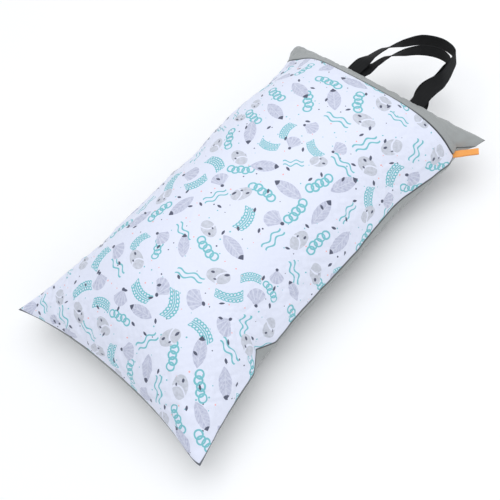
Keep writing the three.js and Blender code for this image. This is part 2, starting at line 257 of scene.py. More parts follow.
def point_outwards(obj: bpy.types.Object, merge: float | None = None) -> None:
    """Turns a closed mesh's faces outwards.

    Args:
        obj: the object.
        merge: the distance within which its points are merged first, if any.
    """
    make_active(obj)
    bpy.ops.object.mode_set(mode="EDIT")
    bpy.ops.mesh.select_all(action="SELECT")
    if merge:
        bpy.ops.mesh.remove_doubles(threshold=merge)
    bpy.ops.mesh.normals_make_consistent(inside=False)
    bpy.ops.object.mode_set(mode="OBJECT")


def finish_piece(obj: bpy.types.Object, finish: bpy.types.Material, angle: float = 60) -> bpy.types.Object:
    """Applies a piece's modifiers, shades it smooth, gives it its finish and reports it.

    Args:
        obj: the piece.
        finish: its material.
        angle: edges sharper than this many degrees stay sharp.

    Returns:
        The piece.
    """
    make_active(obj)
    for modifier in list(obj.modifiers):
        bpy.ops.object.modifier_apply(modifier=modifier.name)
    bpy.ops.object.shade_smooth_by_angle(angle=math.radians(angle))
    obj.data.materials.append(finish)
    LOG.info("%s: %d faces", obj.name, len(obj.data.polygons))
    return obj


# The shape of the bag


@dataclass(frozen=True)
class CornerTip:
    """One corner of the bag: its side and end, height share and tuck share."""

    side: int
    end: int
    height: float
    tuck: float


@dataclass(frozen=True)
class SeamKink:
    """A place where a side seam is drawn in and lifted."""

    side: int
    along: float
    span: float
    pull: float
    lift: float
    sharp: bool


@dataclass(frozen=True)
class SideRoll:
    """Where the back rolls out under a side seam: the seam's inset, the back's reach."""

    side: int
    along: float
    span: float
    inset: float
    out: float


@dataclass(frozen=True)
class FrontFold:
    """A soft fold of the front: its middle, direction, half size and depth."""

    across: float
    along: float
    turn: float
    half: float
    spread: float
    depth: float


@dataclass(frozen=True)
class BagShape:
    """The stuffed bag's surfaces over u, from -1 to 1 across, and v, along."""

    corner_width: float = 386 * MM
    corner_length: float = 636 * MM
    side_pull_in: float = 38.5 * MM
    bottom_pull_in: float = 26 * MM
    top_pull_in: float = 29 * MM
    crown_height: float = 164 * MM
    side_seam_height: float = 57 * MM
    bottom_seam_height: float = 57 * MM
    top_seam_height: float = 90 * MM
    cloth_wall: float = 1.6 * MM
    yoke_width: float = 62 * MM
    side_bow: float = 3
    end_bow: float = 2.5
    across_power: float = 2.3
    bottom_power: float = 3.6
    top_power: float = 7.0
    front_root: float = 0.66
    rest_share: float = 0.62
    roll_root: float = 0.6
    tuck_power: int = 16
    fade_power: int = 4
    soft_power: float = 3
    sharp_power: float = 8
    back_power: float = 30
    bottom_roll: float = 5 * MM
    bottom_roll_span: float = 0.12
    ear_reach: float = 0.45
    ear_lift: float = 0.08
    ear_inward: float = 0.13
    tips: tuple[CornerTip, ...] = (
        CornerTip(-1, -1, 0.355, 0.0),
        CornerTip(1, -1, 0.3, 0.02),
        CornerTip(-1, 1, 0.3, 0.03),
        CornerTip(1, 1, 0.365, 0.004),
    )
    kinks: tuple[SeamKink, ...] = (
        SeamKink(1, -0.46, 0.085, 0.4, 0.12, True),
        SeamKink(1, 0.3, 0.14, 0.04, 0.03, False),
        SeamKink(1, 0.87, 0.075, 0.28, 0.2, True),
        SeamKink(-1, 0.84, 0.17, 0.24, 0.0, False),
        SeamKink(-1, 0.66, 0.3, 0.4, -0.08, False),
        SeamKink(-1, 0.06, 0.13, 0.16, 0.04, False),
        SeamKink(-1, -0.55, 0.1, 0.22, -0.06, True),
    )
    rolls: tuple[SideRoll, ...] = (
        SideRoll(1, 0.42, 0.8, 0.0, 0.24),
        SideRoll(1, 0.48, 0.22, 0.18, 0.0),
        SideRoll(1, -0.24, 0.4, 0.085, 0.06),
        SideRoll(1, -0.7, 0.35, 0.0, 0.09),
        SideRoll(-1, 0.05, 0.9, 0.0, 0.2),
    )
    folds: tuple[FrontFold, ...] = (
        FrontFold(-0.62, -0.78, 48, 0.2, 0.045, 0.03),
        FrontFold(0.66, -0.74, 128, 0.2, 0.045, 0.03),
        FrontFold(0.1, -0.84, 84, 0.12, 0.04, 0.025),
        FrontFold(-0.28, -0.86, 76, 0.1, 0.035, 0.02),
        FrontFold(0.62, -0.44, 172, 0.16, 0.04, 0.035),
        FrontFold(-0.62, 0.14, 12, 0.14, 0.05, 0.025),
        FrontFold(-0.56, 0.76, 138, 0.18, 0.05, 0.03),
        FrontFold(0.62, 0.72, 42, 0.16, 0.05, 0.025),
        FrontFold(-0.7, 0.72, 100, 0.15, 0.1, 0.085),
    )

    def fullness(self, u: np.ndarray, v: np.ndarray) -> np.ndarray:
        """Share of the filling's height, from 0 at a seam to 1 at the crown.

        Args:
            u: places across, from -1 to 1.
            v: places along, from -1 to 1.

        Returns:
            The share at each place.
        """
        across = np.maximum(0.0, 1 - np.abs(u) ** self.across_power)
        power = np.where(v > 0, self.top_power, self.bottom_power)
        along = np.maximum(0.0, 1 - np.abs(v) ** power)
        return across * along

    def from_tips(self, u: np.ndarray, v: np.ndarray, value: Callable[[CornerTip], float]) -> np.ndarray:
        """Blends one value of the corner tips over the bag.

        Args:
            u: places across, from -1 to 1.
            v: places along, from -1 to 1.
            value: what to read of each tip.

        Returns:
            The blended value at each place.
        """
        total = np.zeros(np.broadcast(u, v).shape)
        for tip in self.tips:
            total = total + value(tip) * (1 + tip.side * u) * (1 + tip.end * v) / 4
        return total

    def seam_height(self, u: np.ndarray, v: np.ndarray) -> np.ndarray:
        """Height of the seam surface over the floor.

        Args:
            u: places across, from -1 to 1.
            v: places along, from -1 to 1.

        Returns:
            The height at each place, in metres.
        """
        corner = self.crown_height * self.from_tips(u, v, lambda tip: tip.height)
        middle = self.crown_height * self.from_tips(u, v * 0, lambda tip: tip.height)
        share = (v + 1) / 2
        end = self.bottom_seam_height * (1 - share) + self.top_seam_height * share
        return corner + (self.side_seam_height - middle) * (1 - v * v) + (end - corner) * (1 - u * u)

    def rolled(self, u: np.ndarray, v: np.ndarray, value: Callable[[SideRoll], float]) -> np.ndarray:
        """The inset or the outward reach of the side rolls, towards u's side.

        Args:
            u: places across, from -1 to 1.
            v: places along, from -1 to 1.
            value: what to read of each roll.

        Returns:
            The signed shift across, in metres.
        """
        share = np.zeros(np.broadcast(u, v).shape)
        for roll in self.rolls:
            near = np.maximum(0.0, 1 - np.abs(v - roll.along) / roll.span)
            share = share + value(roll) * near * near * (3 - 2 * near) * (u * roll.side > 0)
        return np.sign(u) * share * self.side_pull_in * (1 - v**self.fade_power)

    def seam_surface(self, u: np.ndarray, v: np.ndarray, sharp_power: float | None = None) -> np.ndarray:
        """The surface that the front leaves upwards and the back downwards.

        Args:
            u: places across.
            v: places along.
            sharp_power: how closely the sharp kinks keep to the seam, the front's if left out.

        Returns:
            Its points.
        """
        sharp_power = sharp_power or self.sharp_power
        half_width = self.corner_width / 2 - self.side_pull_in * (1 - np.abs(v) ** self.side_bow)
        share = (v + 1) / 2
        end_pull = self.bottom_pull_in * (1 - share) + self.top_pull_in * share
        half_length = self.corner_length / 2 - end_pull * (1 - np.abs(u) ** self.end_bow)
        tuck = 1 - self.from_tips(u, v, lambda tip: tip.tuck) * np.abs(u * v) ** self.tuck_power
        x = u * half_width * tuck - self.rolled(u, v, lambda roll: roll.inset) * u**self.fade_power
        y = v * half_length * tuck
        z = self.seam_height(u, v)
        for kink in self.kinks:
            near = np.maximum(0.0, 1 - np.abs(v - kink.along) / kink.span)
            shape = near if kink.sharp else near * near * (3 - 2 * near)
            power = sharp_power if kink.sharp else self.soft_power
            amount = shape * np.abs(u) ** power * (u * kink.side > 0)
            x = x - kink.side * kink.pull * self.side_pull_in * amount
            z = z + kink.lift * self.side_seam_height * amount
        to_corner = np.maximum(0.0, v - u - 2 + self.ear_reach) / self.ear_reach
        z = z + self.ear_lift * self.yoke_width * to_corner**2
        x = x + self.ear_inward * self.yoke_width * to_corner**2
        return np.stack([x, y, z], axis=-1)

    def fold_depth(self, points: np.ndarray) -> np.ndarray:
        """How deep the soft folds sink the front at each point.

        Args:
            points: points of the front.

        Returns:
            The depth at each of them, in metres.
        """
        depth = np.zeros(points.shape[:-1])
        for fold in self.folds:
            x = points[..., 0] - fold.across * self.corner_width / 2
            y = points[..., 1] - fold.along * self.corner_length / 2
            turn = math.radians(fold.turn)
            length = (x * math.cos(turn) + y * math.sin(turn)) / (fold.half * self.corner_width)
            side = (y * math.cos(turn) - x * math.sin(turn)) / (fold.spread * self.corner_width)
            depth += fold.depth * self.crown_height * np.exp(-(length**2) - side**2)
        return depth

    def front(self, u: np.ndarray, v: np.ndarray) -> np.ndarray:
        """The inside of the front and yoke.

        Args:
            u: places across, from -1 to 1.
            v: places along, from -1 to 1.

        Returns:
            Its points.
        """
        points = self.seam_surface(u, v)
        full = self.fullness(u, v)
        share = full**self.front_root
        points[..., 2] = points[..., 2] * (1 - share) + self.crown_height * share
        points[..., 2] -= self.fold_depth(points) * np.minimum(1.0, 2 * full)
        return points

    def back(self, u: np.ndarray, v: np.ndarray) -> np.ndarray:
        """The inside of the back, which comes down and lies flat on the floor.

        Args:
            u: places across, from -1 to 1.
            v: places along, from -1 to 1.

        Returns:
            Its points.
        """
        points = self.seam_surface(u, v, self.back_power)
        inward = np.minimum(1.0, (1 - np.abs(u)) / (1 - self.rest_share))
        out = np.sin(math.pi * inward**self.roll_root)
        points[..., 0] += self.rolled(u, v, lambda roll: roll.out) * out
        upward = np.clip((v + 1) / self.bottom_roll_span, 0.0, 1.0)
        under = np.sin(math.pi * upward**0.5) * (1 - u**self.fade_power)
        points[..., 1] -= self.bottom_roll * under
        resting = self.fullness(np.array(self.rest_share), np.array(0.0))
        down = np.minimum(1.0, self.fullness(u, v) / resting)
        settle = 1 - (1 - down) ** 2
        points[..., 2] = points[..., 2] * (1 - settle) + self.cloth_wall * settle
        return points


# The cloth


class Side(Enum):
    """The two cloth sheets, by the way that their outside faces."""

    FRONT = 1
    BACK = -1


class Seam(Enum):
    """The seams that something is sewn into."""

    TOP = "top"
    RIGHT = "right"


@dataclass(frozen=True)
class ClothCut:
    """How the front and the back are cut flat, and the grid that they are laid in."""

    width: float = 406 * MM
    length: float = 662 * MM
    yoke: float = 62 * MM
    columns: int = 84
    print_rows: int = 122
    yoke_rows: int = 14
    passes: int = 6

    @property
    def rows(self) -> int:
        """Rows of the whole front, yoke included."""
        return self.print_rows + self.yoke_rows

    @property
    def slit(self) -> float:
        """Distance of the slit from the bottom seam."""
        return self.length - self.yoke

    def flat_rows(self) -> np.ndarray:
        """Place of each grid row along the cut cloth, from the bottom seam.

        Returns:
            The places, in metres.
        """
        low = np.linspace(0, self.slit, self.print_rows + 1)
        high = np.linspace(self.slit, self.length, self.yoke_rows + 1)
        return np.concatenate([low, high[1:]])

    def flat(self) -> np.ndarray:
        """The cut cloth's points, (across, along, 2), from its bottom left corner.

        Returns:
            The points.
        """
        across = np.linspace(0, self.width, self.columns + 1)
        s, t = np.meshgrid(across, self.flat_rows(), indexing="ij")
        return np.stack([s, t], axis=-1)

    def seam_gaps(self) -> np.ndarray:
        """Distances of the cut's points from its left, right, bottom and top seams."""
        s, t = np.moveaxis(self.flat(), -1, 0)
        return np.stack([s, self.width - s, t, self.length - t])

    def lay(self, surface: Callable[[np.ndarray, np.ndarray], np.ndarray]) -> np.ndarray:
        """Lays the cut evenly on a surface, by shares of length both ways.

        Args:
            surface: points from u and v.

        Returns:
            The laid points, (across, along, 3).
        """
        share_across = np.linspace(0, 1, self.columns + 1)
        share_along = self.flat_rows() / self.length
        u, v = np.meshgrid(2 * share_across - 1, 2 * share_along - 1, indexing="ij")
        for _ in range(self.passes):
            run = arc_lengths(surface(u, v), 0)
            for row in range(u.shape[1]):
                share = run[:, row] / run[-1, row]
                u[:, row], v[:, row] = (np.interp(share_across, share, values[:, row]) for values in (u, v))
            run = arc_lengths(surface(u, v), 1)
            for column in range(u.shape[0]):
                share = run[column] / run[column, -1]
                u[column], v[column] = (np.interp(share_along, share, values[column]) for values in (u, v))
        return surface(u, v)


@dataclass(frozen=True)
class Drape:
    """How one sheet is let go as cloth: steps, push, weight, stiffnesses and spare cloth."""

    frames: int = 24
    quality: int = 7
    push: float = 1.4
    mass: float = 0.12
    bending: float = 0.35
    tension: float = 24.0
    damping: float = 8.0
    bend_damping: float = 1.0
    air: float = 4.0
    hold: float = 0.22
    crown_hold: float = 0.45
    spare: float = 0.05
    crown_spare: float = 0.004
    crown_from: float = 20 * MM
    crown_to: float = 120 * MM


@dataclass(frozen=True)
class SeamPucker:
    """Ripples of the seams: their height, the range of their lengths, and their reach."""

    height: float = 0.32 * MM
    shortest: float = 18 * MM
    longest: float = 60 * MM
    waves: int = 7
    seed: int = 41
    reach: float = 9 * MM
    corner: float = 30 * MM
    starts: tuple[float, ...] = (0.0, 2.1, 4.3, 6.7)

    def at(self, place: np.ndarray) -> np.ndarray:
        """Signed ripple at places along a seam, in metres.

        Args:
            place: places along a seam, in metres.

        Returns:
            The ripple at each place.
        """
        chance = np.random.default_rng(self.seed)
        total = np.zeros_like(place)
        for _ in range(self.waves):
            length = chance.uniform(self.shortest, self.longest)
            total += np.sin(2 * math.pi * place / length + chance.uniform(0, 2 * math.pi))
        return total * self.height / math.sqrt(self.waves / 2)


@dataclass(frozen=True)
class SewnIn:
    """A piece sewn between the sheets: its seam, span and thickness, and how the cloth gives."""

    seam: Seam
    start: float
    end: float
    thickness: float
    soft: float = 5 * MM
    reach: float = 7 * MM


@dataclass(frozen=True)
class Panel:
    """One piece of a sheet: what it stands for, its rows and length, and its cut end."""

    name: str
    node: str
    slot: str
    side: Side
    rows: tuple[int, int]
    length: float
    step: float
    slit_end: int | None
    rests_on: str


def weigh(obj: bpy.types.Object, name: str, weights: np.ndarray) -> bpy.types.VertexGroup:
    """Adds a vertex group with one weight for each point.

    Args:
        obj: the object.
        name: the group's name.
        weights: one weight for each point.

    Returns:
        The group.
    """
    group = obj.vertex_groups.new(name=name)
    for index, weight in enumerate(weights.reshape(-1)):
        group.add([index], float(weight), "REPLACE")
    return group


def let_go(name: str, laid: np.ndarray, spare: np.ndarray, hold: np.ndarray, drape: Drape) -> np.ndarray:
    """Lets a laid sheet settle as cloth that has a little more length than it is laid in.

    Args:
        name: the sheet's name.
        laid: where it is laid, (across, along, 3).
        spare: how much of the greatest spare length each point has, 0 to 1.
        hold: how firmly the filling holds each point, 1 where it is sewn.
        drape: the cloth's settings.

    Returns:
        Where it settles, (across, along, 3).
    """
    obj = grid_object(name + "_settling", laid)
    scene = bpy.context.scene
    count = len(obj.data.vertices)
    held = weigh(obj, "held", hold)
    taut = weigh(obj, "taut", 1 - spare)
    cloth = obj.modifiers.new("cloth", "CLOTH")
    settings = cloth.settings
    settings.vertex_group_shrink = taut.name
    settings.shrink_min, settings.shrink_max = -drape.spare, 0.0
    settings.quality = drape.quality
    settings.mass = drape.mass / count
    settings.air_damping = drape.air
    settings.tension_stiffness = settings.compression_stiffness = drape.tension
    settings.shear_stiffness = drape.tension / 4
    settings.bending_stiffness = drape.bending
    settings.tension_damping = settings.compression_damping = drape.damping
    settings.shear_damping = drape.damping
    settings.bending_damping = drape.bend_damping
    settings.vertex_group_mass = held.name
    settings.pin_stiffness = 1.0
    settings.use_pressure = True
    settings.uniform_pressure_force = drape.push
    settings.effector_weights.gravity = 0.0
    cloth.collision_settings.use_collision = False
    cloth.collision_settings.use_self_collision = False
    cloth.point_cache.frame_start = 1
    cloth.point_cache.frame_end = drape.frames + 1
    for frame_number in range(1, drape.frames + 1):
        scene.frame_set(frame_number)
    evaluated = obj.evaluated_get(bpy.context.evaluated_depsgraph_get())
    mesh = evaluated.to_mesh()
    settled = np.empty(count * 3, dtype=np.float32)
    mesh.vertices.foreach_get("co", settled)
    evaluated.to_mesh_clear()
    scene.frame_set(1)
    bpy.data.objects.remove(obj, do_unlink=True)
    return settled.reshape(laid.shape).astype(float)


def edge_places(count: int, step: float) -> np.ndarray:
    """Grid places for a finished sheet, closer together next to its rolled edges.

    Args:
        count: grid steps of the laid sheet.
        step: length of a plain step of the finished one, in laid steps.

    Returns:
        Rising places from 0 to count.
    """
    near = np.array(NEAR_EDGE)
    middle = np.linspace(1.0, count - 1.0, max(2, round((count - 2) / step)) + 1)
    return np.concatenate([near, middle, count - near[::-1]])


@dataclass
class BagCloth:
    """The bag's two cloth sheets: laid, let go, and finished as walls."""

    shape: BagShape
    cut: ClothCut
    drape: Drape
    pucker: SeamPucker
    sewn_in: tuple[SewnIn, ...]
    wall: float = 1.5 * MM
    lining_share: float = 0.86
    roll: float = 2.6 * MM
    edge_share: float = 0.03
    off_floor: float = 0.1 * MM
    slit: float = 1.5 * MM
    slit_reach: float = 3 * MM
    turn_down: float = 0.7 * MM
    turn_reach: float = 2.2 * MM
    placket: float = 0.7 * MM
    placket_rise: tuple[float, float] = (0.0, 1.5 * MM)
    placket_end: tuple[float, float] = (8.5 * MM, 10.5 * MM)
    largest_move: float = 6 * MM
    firm_edge: float = 26 * MM
    front: np.ndarray = field(init=False)
    back: np.ndarray = field(init=False)

    def __post_init__(self) -> None:
        """Settles both sheets, which the pieces are then cut from."""
        self.front = self.settled(Side.FRONT)
        self.back = self.settled(Side.BACK)

    def ripples(self) -> np.ndarray:
        """Height of the seams' ripples over the cut, the same for both sheets.

        Returns:
            The height at each point of the cut.
        """
        s, t = np.moveaxis(self.cut.flat(), -1, 0)
        gaps = self.cut.seam_gaps()
        starts = np.stack([line + start for line, start in zip((t, t, s, s), self.pucker.starts)])
        nearest = np.argmin(gaps, axis=0)[None]
        wave = self.pucker.at(np.take_along_axis(starts, nearest, axis=0)[0])
        near = np.exp(-gaps.min(axis=0) / self.pucker.reach)
        corner = np.minimum(np.sort(gaps, axis=0)[1] / self.pucker.corner, 1.0)
        return wave * near * corner

    def parting(self) -> np.ndarray:
        """How far each sheet gives way to what is sewn in between.

        Returns:
            The lift at each point of the cut.
        """
        s, t = np.moveaxis(self.cut.flat(), -1, 0)
        lift = np.zeros(s.shape)
        for item in self.sewn_in:
            along, out = (s, self.cut.length - t) if item.seam is Seam.TOP else (t, self.cut.width - s)
            within = smooth_step(along, item.start - item.soft, item.start)
            within = within * (1 - smooth_step(along, item.end, item.end + item.soft))
            lift = np.maximum(lift, item.thickness / 2 * within * np.exp(-out / item.reach))
        return lift

    def settled(self, side: Side) -> np.ndarray:
        """Lays one sheet and lets it go as cloth.

        Args:
            side: which sheet.

        Returns:
            The inside of the settled sheet.
        """
        laid = self.cut.lay(self.shape.front if side is Side.FRONT else self.shape.back)
        laid[..., 2] += self.ripples()
        laid[..., 2] += side.value * self.parting()
        drape, name = self.drape, side.name.lower()
        gap = self.cut.seam_gaps().min(axis=0)
        inner = smooth_step(gap, drape.crown_from, drape.crown_to)
        hold = drape.hold + (drape.crown_hold - drape.hold) * inner
        hold[[0, -1]] = hold[:, [0, -1]] = 1.0
        spare = 1 - (1 - drape.crown_spare / drape.spare) * inner
        order = slice(None, None, -side.value)
        move = let_go(name, laid[order], spare[order], hold[order], drape)[order] - laid
        size = np.linalg.norm(move, axis=-1, keepdims=True)
        largest, mean = size.max() / MM, size.mean() / MM
        LOG.info("%s settled: moves up to %.1f mm, %.1f on average", name, largest, mean)
        if side is Side.FRONT:
            gap = np.minimum(gap, np.abs(self.cut.flat()[..., 1] - self.cut.slit))
        firm = smooth_step(gap, 0.0, self.firm_edge)[..., None]
        return laid + firm * self.largest_move / (self.largest_move + size) * move

    def sheet(self, panel: Panel, finish: bpy.types.Material) -> bpy.types.Object:
        """Finishes one piece of a settled sheet as a thin wall with rolled edges.

        Args:
            panel: which piece.
            finish: its material.

        Returns:
            The finished piece.
        """
        first, last = panel.rows
        across = edge_places(self.cut.columns, panel.step)
        along = first + edge_places(last - first, panel.step)
        flat = between(between(self.cut.flat(), across, 0), along, 1)
        grid = self.front if panel.side is Side.FRONT else self.back
        inside = between(between(grid, across, 0), along, 1)
        if panel.slit_end is not None:
            inside = self.trimmed(inside, flat, panel.slit_end)
        s, t = np.moveaxis(flat, -1, 0)
        gap = np.minimum.reduce([s, self.cut.width - s, t - flat[0, 0, 1], flat[0, -1, 1] - t])
        share = np.clip(gap / self.roll, 0, 1)
        round_over = np.sqrt(np.clip(1 - (1 - share) ** 2, 0, 1)) * (1 - self.edge_share) + self.edge_share
        outside = inside + panel.side.value * grid_normals(inside) * (self.wall * round_over)[..., None]
        if panel.side is Side.BACK:
            outside[..., 2] = np.maximum(outside[..., 2], self.off_floor)
        obj = grid_object(panel.name, outside, flat)
        if panel.side is Side.FRONT:
            obj.data.flip_normals()
        group = weigh(obj, "wall", round_over)
        wall = thicken(obj, self.wall * self.lining_share, -1)
        wall.use_even_offset = False
        wall.vertex_group = group.name
        return finish_piece(obj, finish)

    def trimmed(self, points: np.ndarray, flat: np.ndarray, end: int) -> np.ndarray:
        """Draws an end row back from the slit and turns it down, below a raised fold of cloth.

        Args:
            points: the sheet's inside.
            flat: its points on the cut cloth.
            end: the row at the slit, 0 or -1.

        Returns:
            The inside with its cut end.
        """
        away = unit(points[:, 3 if end == 0 else -4] - points[:, end])
        span = np.abs(flat[0, :, 1] - flat[0, end, 1])
        shift = self.slit / 2 * np.exp(-((span / self.slit_reach) ** 2))
        sink = self.turn_down * np.exp(-((span / self.turn_reach) ** 2))
        within = smooth_step(span, *self.placket_rise)
        raised = self.placket * (1 - smooth_step(span, *self.placket_end)) * within
        move = away[:, None] * shift[None, :, None] + grid_normals(points) * (raised - sink)[None, :, None]
        return points + move


# Webbing, ribbon and zipper


@dataclass(frozen=True)
class LoopRow:
    """A place on half a webbing loop: shares of its spacing and reach, and both twists."""

    across: float
    out: float
    left: float
    right: float


HALF_LOOP = (
    LoopRow(1.0, 0.0, 0.0, 0.0),
    LoopRow(0.995, 0.1, 0.0, 0.0),
    LoopRow(0.98, 0.22, 0.03, 0.03),
    LoopRow(0.95, 0.36, 0.365, 0.3),
    LoopRow(0.93, 0.55, 0.425, 0.78),
    LoopRow(0.735, 0.76, 0.815, 0.865),
    LoopRow(0.5, 0.93, 0.96, 1.0),
)


@dataclass(frozen=True)
class WebbingLoop:
    """A carrying loop of flat webbing, its two ends sewn into the top seam."""

    name: str
    shape: BagShape
    reach: float
    sideways: float
    shift: float
    inset: float
    level: int
    width: float = 25.4 * MM
    thickness: float = 1.5 * MM
    spacing: float = 121.6 * MM
    offset: float = 19.2 * MM
    gap: float = 0.3 * MM
    leg_reach: float = 38 * MM
    parting: float = 3 * MM
    sewn_share: float = 0.14
    into_seam: float = 5 * MM
    sewn_steps: int = 4
    rounds: int = 12
    steps: int = 150
    lines: int = 13
    edge_room: float = 0.4 * MM
    selvedge: float = 0.55 * MM
    selvedge_steps: int = 3
    selvedge_angle: float = 50

    def seam_point(self, x: float) -> np.ndarray:
        """The top seam at a distance across.

        Args:
            x: the distance across, in metres.

        Returns:
            The point.
        """
        u = np.array([2 * x / self.shape.corner_width])
        for _ in range(self.rounds):
            u = u + 2 * (x - self.shape.seam_surface(u, np.ones(1))[..., 0]) / self.shape.corner_width
        return self.shape.seam_surface(u, np.ones(1))[0]

    def seam_stretch(self, x: float) -> tuple[np.ndarray, np.ndarray]:
        """Middle and direction of the stretch of seam that a leg is sewn into."""
        left, right = (self.seam_point(x + side * self.width / 2) for side in (-1, 1))
        return (left + right) / 2, unit(right - left)

    def spans(self) -> list[tuple[float, float]]:
        """Where the two legs start and end across the bag."""
        legs = [self.offset + self.shift + side * self.spacing / 2 for side in (-1, 1)]
        return [(leg - self.width / 2, leg + self.width / 2) for leg in legs]

    def route(self) -> tuple[np.ndarray, np.ndarray, list[tuple[np.ndarray, np.ndarray]]]:
        """Route points, their twists in radians, and both seam stretches.

        Returns:
            The points, (rows, 3), their twists and the two stretches.
        """
        half = self.spacing / 2
        seams = [self.seam_stretch(self.offset + self.shift + side * half) for side in (-1, 1)]
        rows = [(-row.across, row.out, row.left) for row in HALF_LOOP]
        rows.append((0.0, 1.0, 1.0))
        rows += [(row.across, row.out, row.right) for row in reversed(HALF_LOOP)]
        across, out, twists = np.array(rows).T
        clear = self.shape.cloth_wall + self.gap
        start = seams[0][0] + (seams[1][0] - seams[0][0]) * (across[:, None] + 1) / 2
        free = smooth_step(out * self.reach, 0.0, self.leg_reach)
        parted = self.parting * np.sin(math.pi * np.minimum(1.0, out * self.reach / (2 * self.leg_reach)))
        sewn_place = self.offset + self.shift * (1 - free)
        x = sewn_place + across * (half - self.inset * free) + self.sideways * out**2
        y = start[:, 1] + clear + out * (self.reach - clear)
        z = start[:, 2] + self.level * ((self.thickness + self.gap) / 2 + parted)
        return np.stack([x, y, z], axis=-1), twists * math.pi / 2, seams

    def sections(self) -> tuple[np.ndarray, np.ndarray]:
        """Middles of the webbing along its route, and the directions of its width.

        Returns:
            The middles, (steps, 3), and the unit directions.
        """
        points, twists, seams = self.route()
        places = np.linspace(0, 1, self.steps + 1)
        middles = curve_at(points, places)
        ahead = unit(np.gradient(middles, axis=0))
        twist = np.interp(places, np.linspace(0, 1, len(twists)), twists)
        turned = unit(np.stack([ahead[:, 1], -ahead[:, 0], 0 * twist], axis=-1)) * np.cos(twist)[:, None]
        turned[:, 2] = np.sin(twist)
        sewn = np.where((places < 0.5)[:, None], seams[0][1], -seams[1][1])
        loose = smooth_step(np.minimum(places, 1 - places), 0.0, self.sewn_share)[:, None]
        wide = unit(sewn * (1 - loose) + turned * loose)
        inward = np.arange(1, self.sewn_steps + 1)[:, None] * self.into_seam / self.sewn_steps
        start, end = middles[0] - ahead[0] * inward[::-1], middles[-1] + ahead[-1] * inward
        wide = np.pad(wide, ((self.sewn_steps, self.sewn_steps), (0, 0)), mode="edge")
        return np.concatenate([start, middles, end]), wide

    def build(self, finish: bpy.types.Material) -> bpy.types.Object:
        """Builds the loop as a strip of its real thickness with rounded selvedges.

        Args:
            finish: its material.

        Returns:
            The loop.
        """
        middles, wide = self.sections()
        across = np.linspace(-0.5, 0.5, self.lines) * (self.width - self.edge_room)
        obj = strip_object(self.name, middles, wide, across, self.width)
        thicken(obj, self.thickness)
        bevel = obj.modifiers.new("selvedge", "BEVEL")
        bevel.width = self.selvedge
        bevel.segments = self.selvedge_steps
        bevel.limit_method = "ANGLE"
        bevel.angle_limit = math.radians(self.selvedge_angle)
        bevel.use_clamp_overlap = False
        LOG.info("%s: %.0f mm of webbing", self.name, arc_lengths(middles)[-1] / MM)
        return finish_piece(obj, finish, 75)


@dataclass(frozen=True)
class SideTab:
    """The folded ribbon tab in the right side seam."""

    shape: BagShape
    width: float = 11 * MM
    reach: float = 34 * MM
    thickness: float = 1.2 * MM
    distance: float = 61 * MM
    turn: float = 38
    rise: float = 4 * MM
    clear: float = 3.0 * MM
    into_seam: float = 6 * MM
    ribbon: float = 0.42 * MM
    bulge: float = 0.55
    bulge_place: float = 0.86
    bulge_span: float = 0.13
    fold_from: float = 0.93
    sewn_share: float = 0.5
    seam_steps: int = 800
    steps: int = 26
    fold_steps: int = 9
    lines: int = 9

    def seam_point(self, distance: float) -> np.ndarray:
        """The right side seam at a distance along it from its top corner.

        Args:
            distance: the distance, in metres.

        Returns:
            The point.
        """
        v = np.linspace(1, 0.5, self.seam_steps)
        points = self.shape.seam_surface(np.ones_like(v), v)
        run = arc_lengths(points)
        return np.array([np.interp(distance, run, points[:, axis]) for axis in range(3)])

    def build(self, finish: bpy.types.Material) -> bpy.types.Object:
        """Builds the ribbon: out along its lower layer, round the fold and back.

        Args:
            finish: its material.

        Returns:
            The tab.
        """
        near, far = (self.seam_point(self.distance + side * self.width / 2) for side in (-1, 1))
        sewn = unit(near - far)
        turn = math.radians(self.turn)
        out = np.array([math.cos(turn), math.sin(turn), 0.0])
        level = np.array([-out[1], out[0], 0.0])
        half = (self.thickness - self.ribbon) / 2
        end = self.clear + self.reach - half
        straight = np.linspace(self.clear - self.into_seam, end, self.steps)
        fold = np.linspace(0, math.pi, self.fold_steps)[1:-1]
        away = np.concatenate([straight, end + half * np.sin(fold), straight[::-1]])
        side = np.concatenate([np.full(self.steps, -1.0), -np.cos(fold), np.full(self.steps, 1.0)])
        share = np.clip((away - self.clear) / self.reach, 0, 1)
        loose = smooth_step(share, 0, self.sewn_share)[:, None]
        wide = unit(sewn * (1 - loose) + level * loose)
        face = unit(np.cross(np.broadcast_to(out, wide.shape), wide))
        middle = self.seam_point(self.distance) + out * away[:, None]
        middle = middle + np.array([0, 0, 1.0]) * (self.rise * share)[:, None]
        bulge = 1 + self.bulge * np.exp(-(((share - self.bulge_place) / self.bulge_span) ** 2))
        middle = middle + face * (side * half * np.where(share < self.fold_from, bulge, 1.0))[:, None]
        across = np.linspace(-0.5, 0.5, self.lines) * self.width
        obj = strip_object("orange_tab", middle, wide, across, self.width)
        thicken(obj, self.ribbon)
        LOG.info("orange_tab: %.0f mm of ribbon", arc_lengths(middle)[-1] / MM)
        return finish_piece(obj, finish, 50)


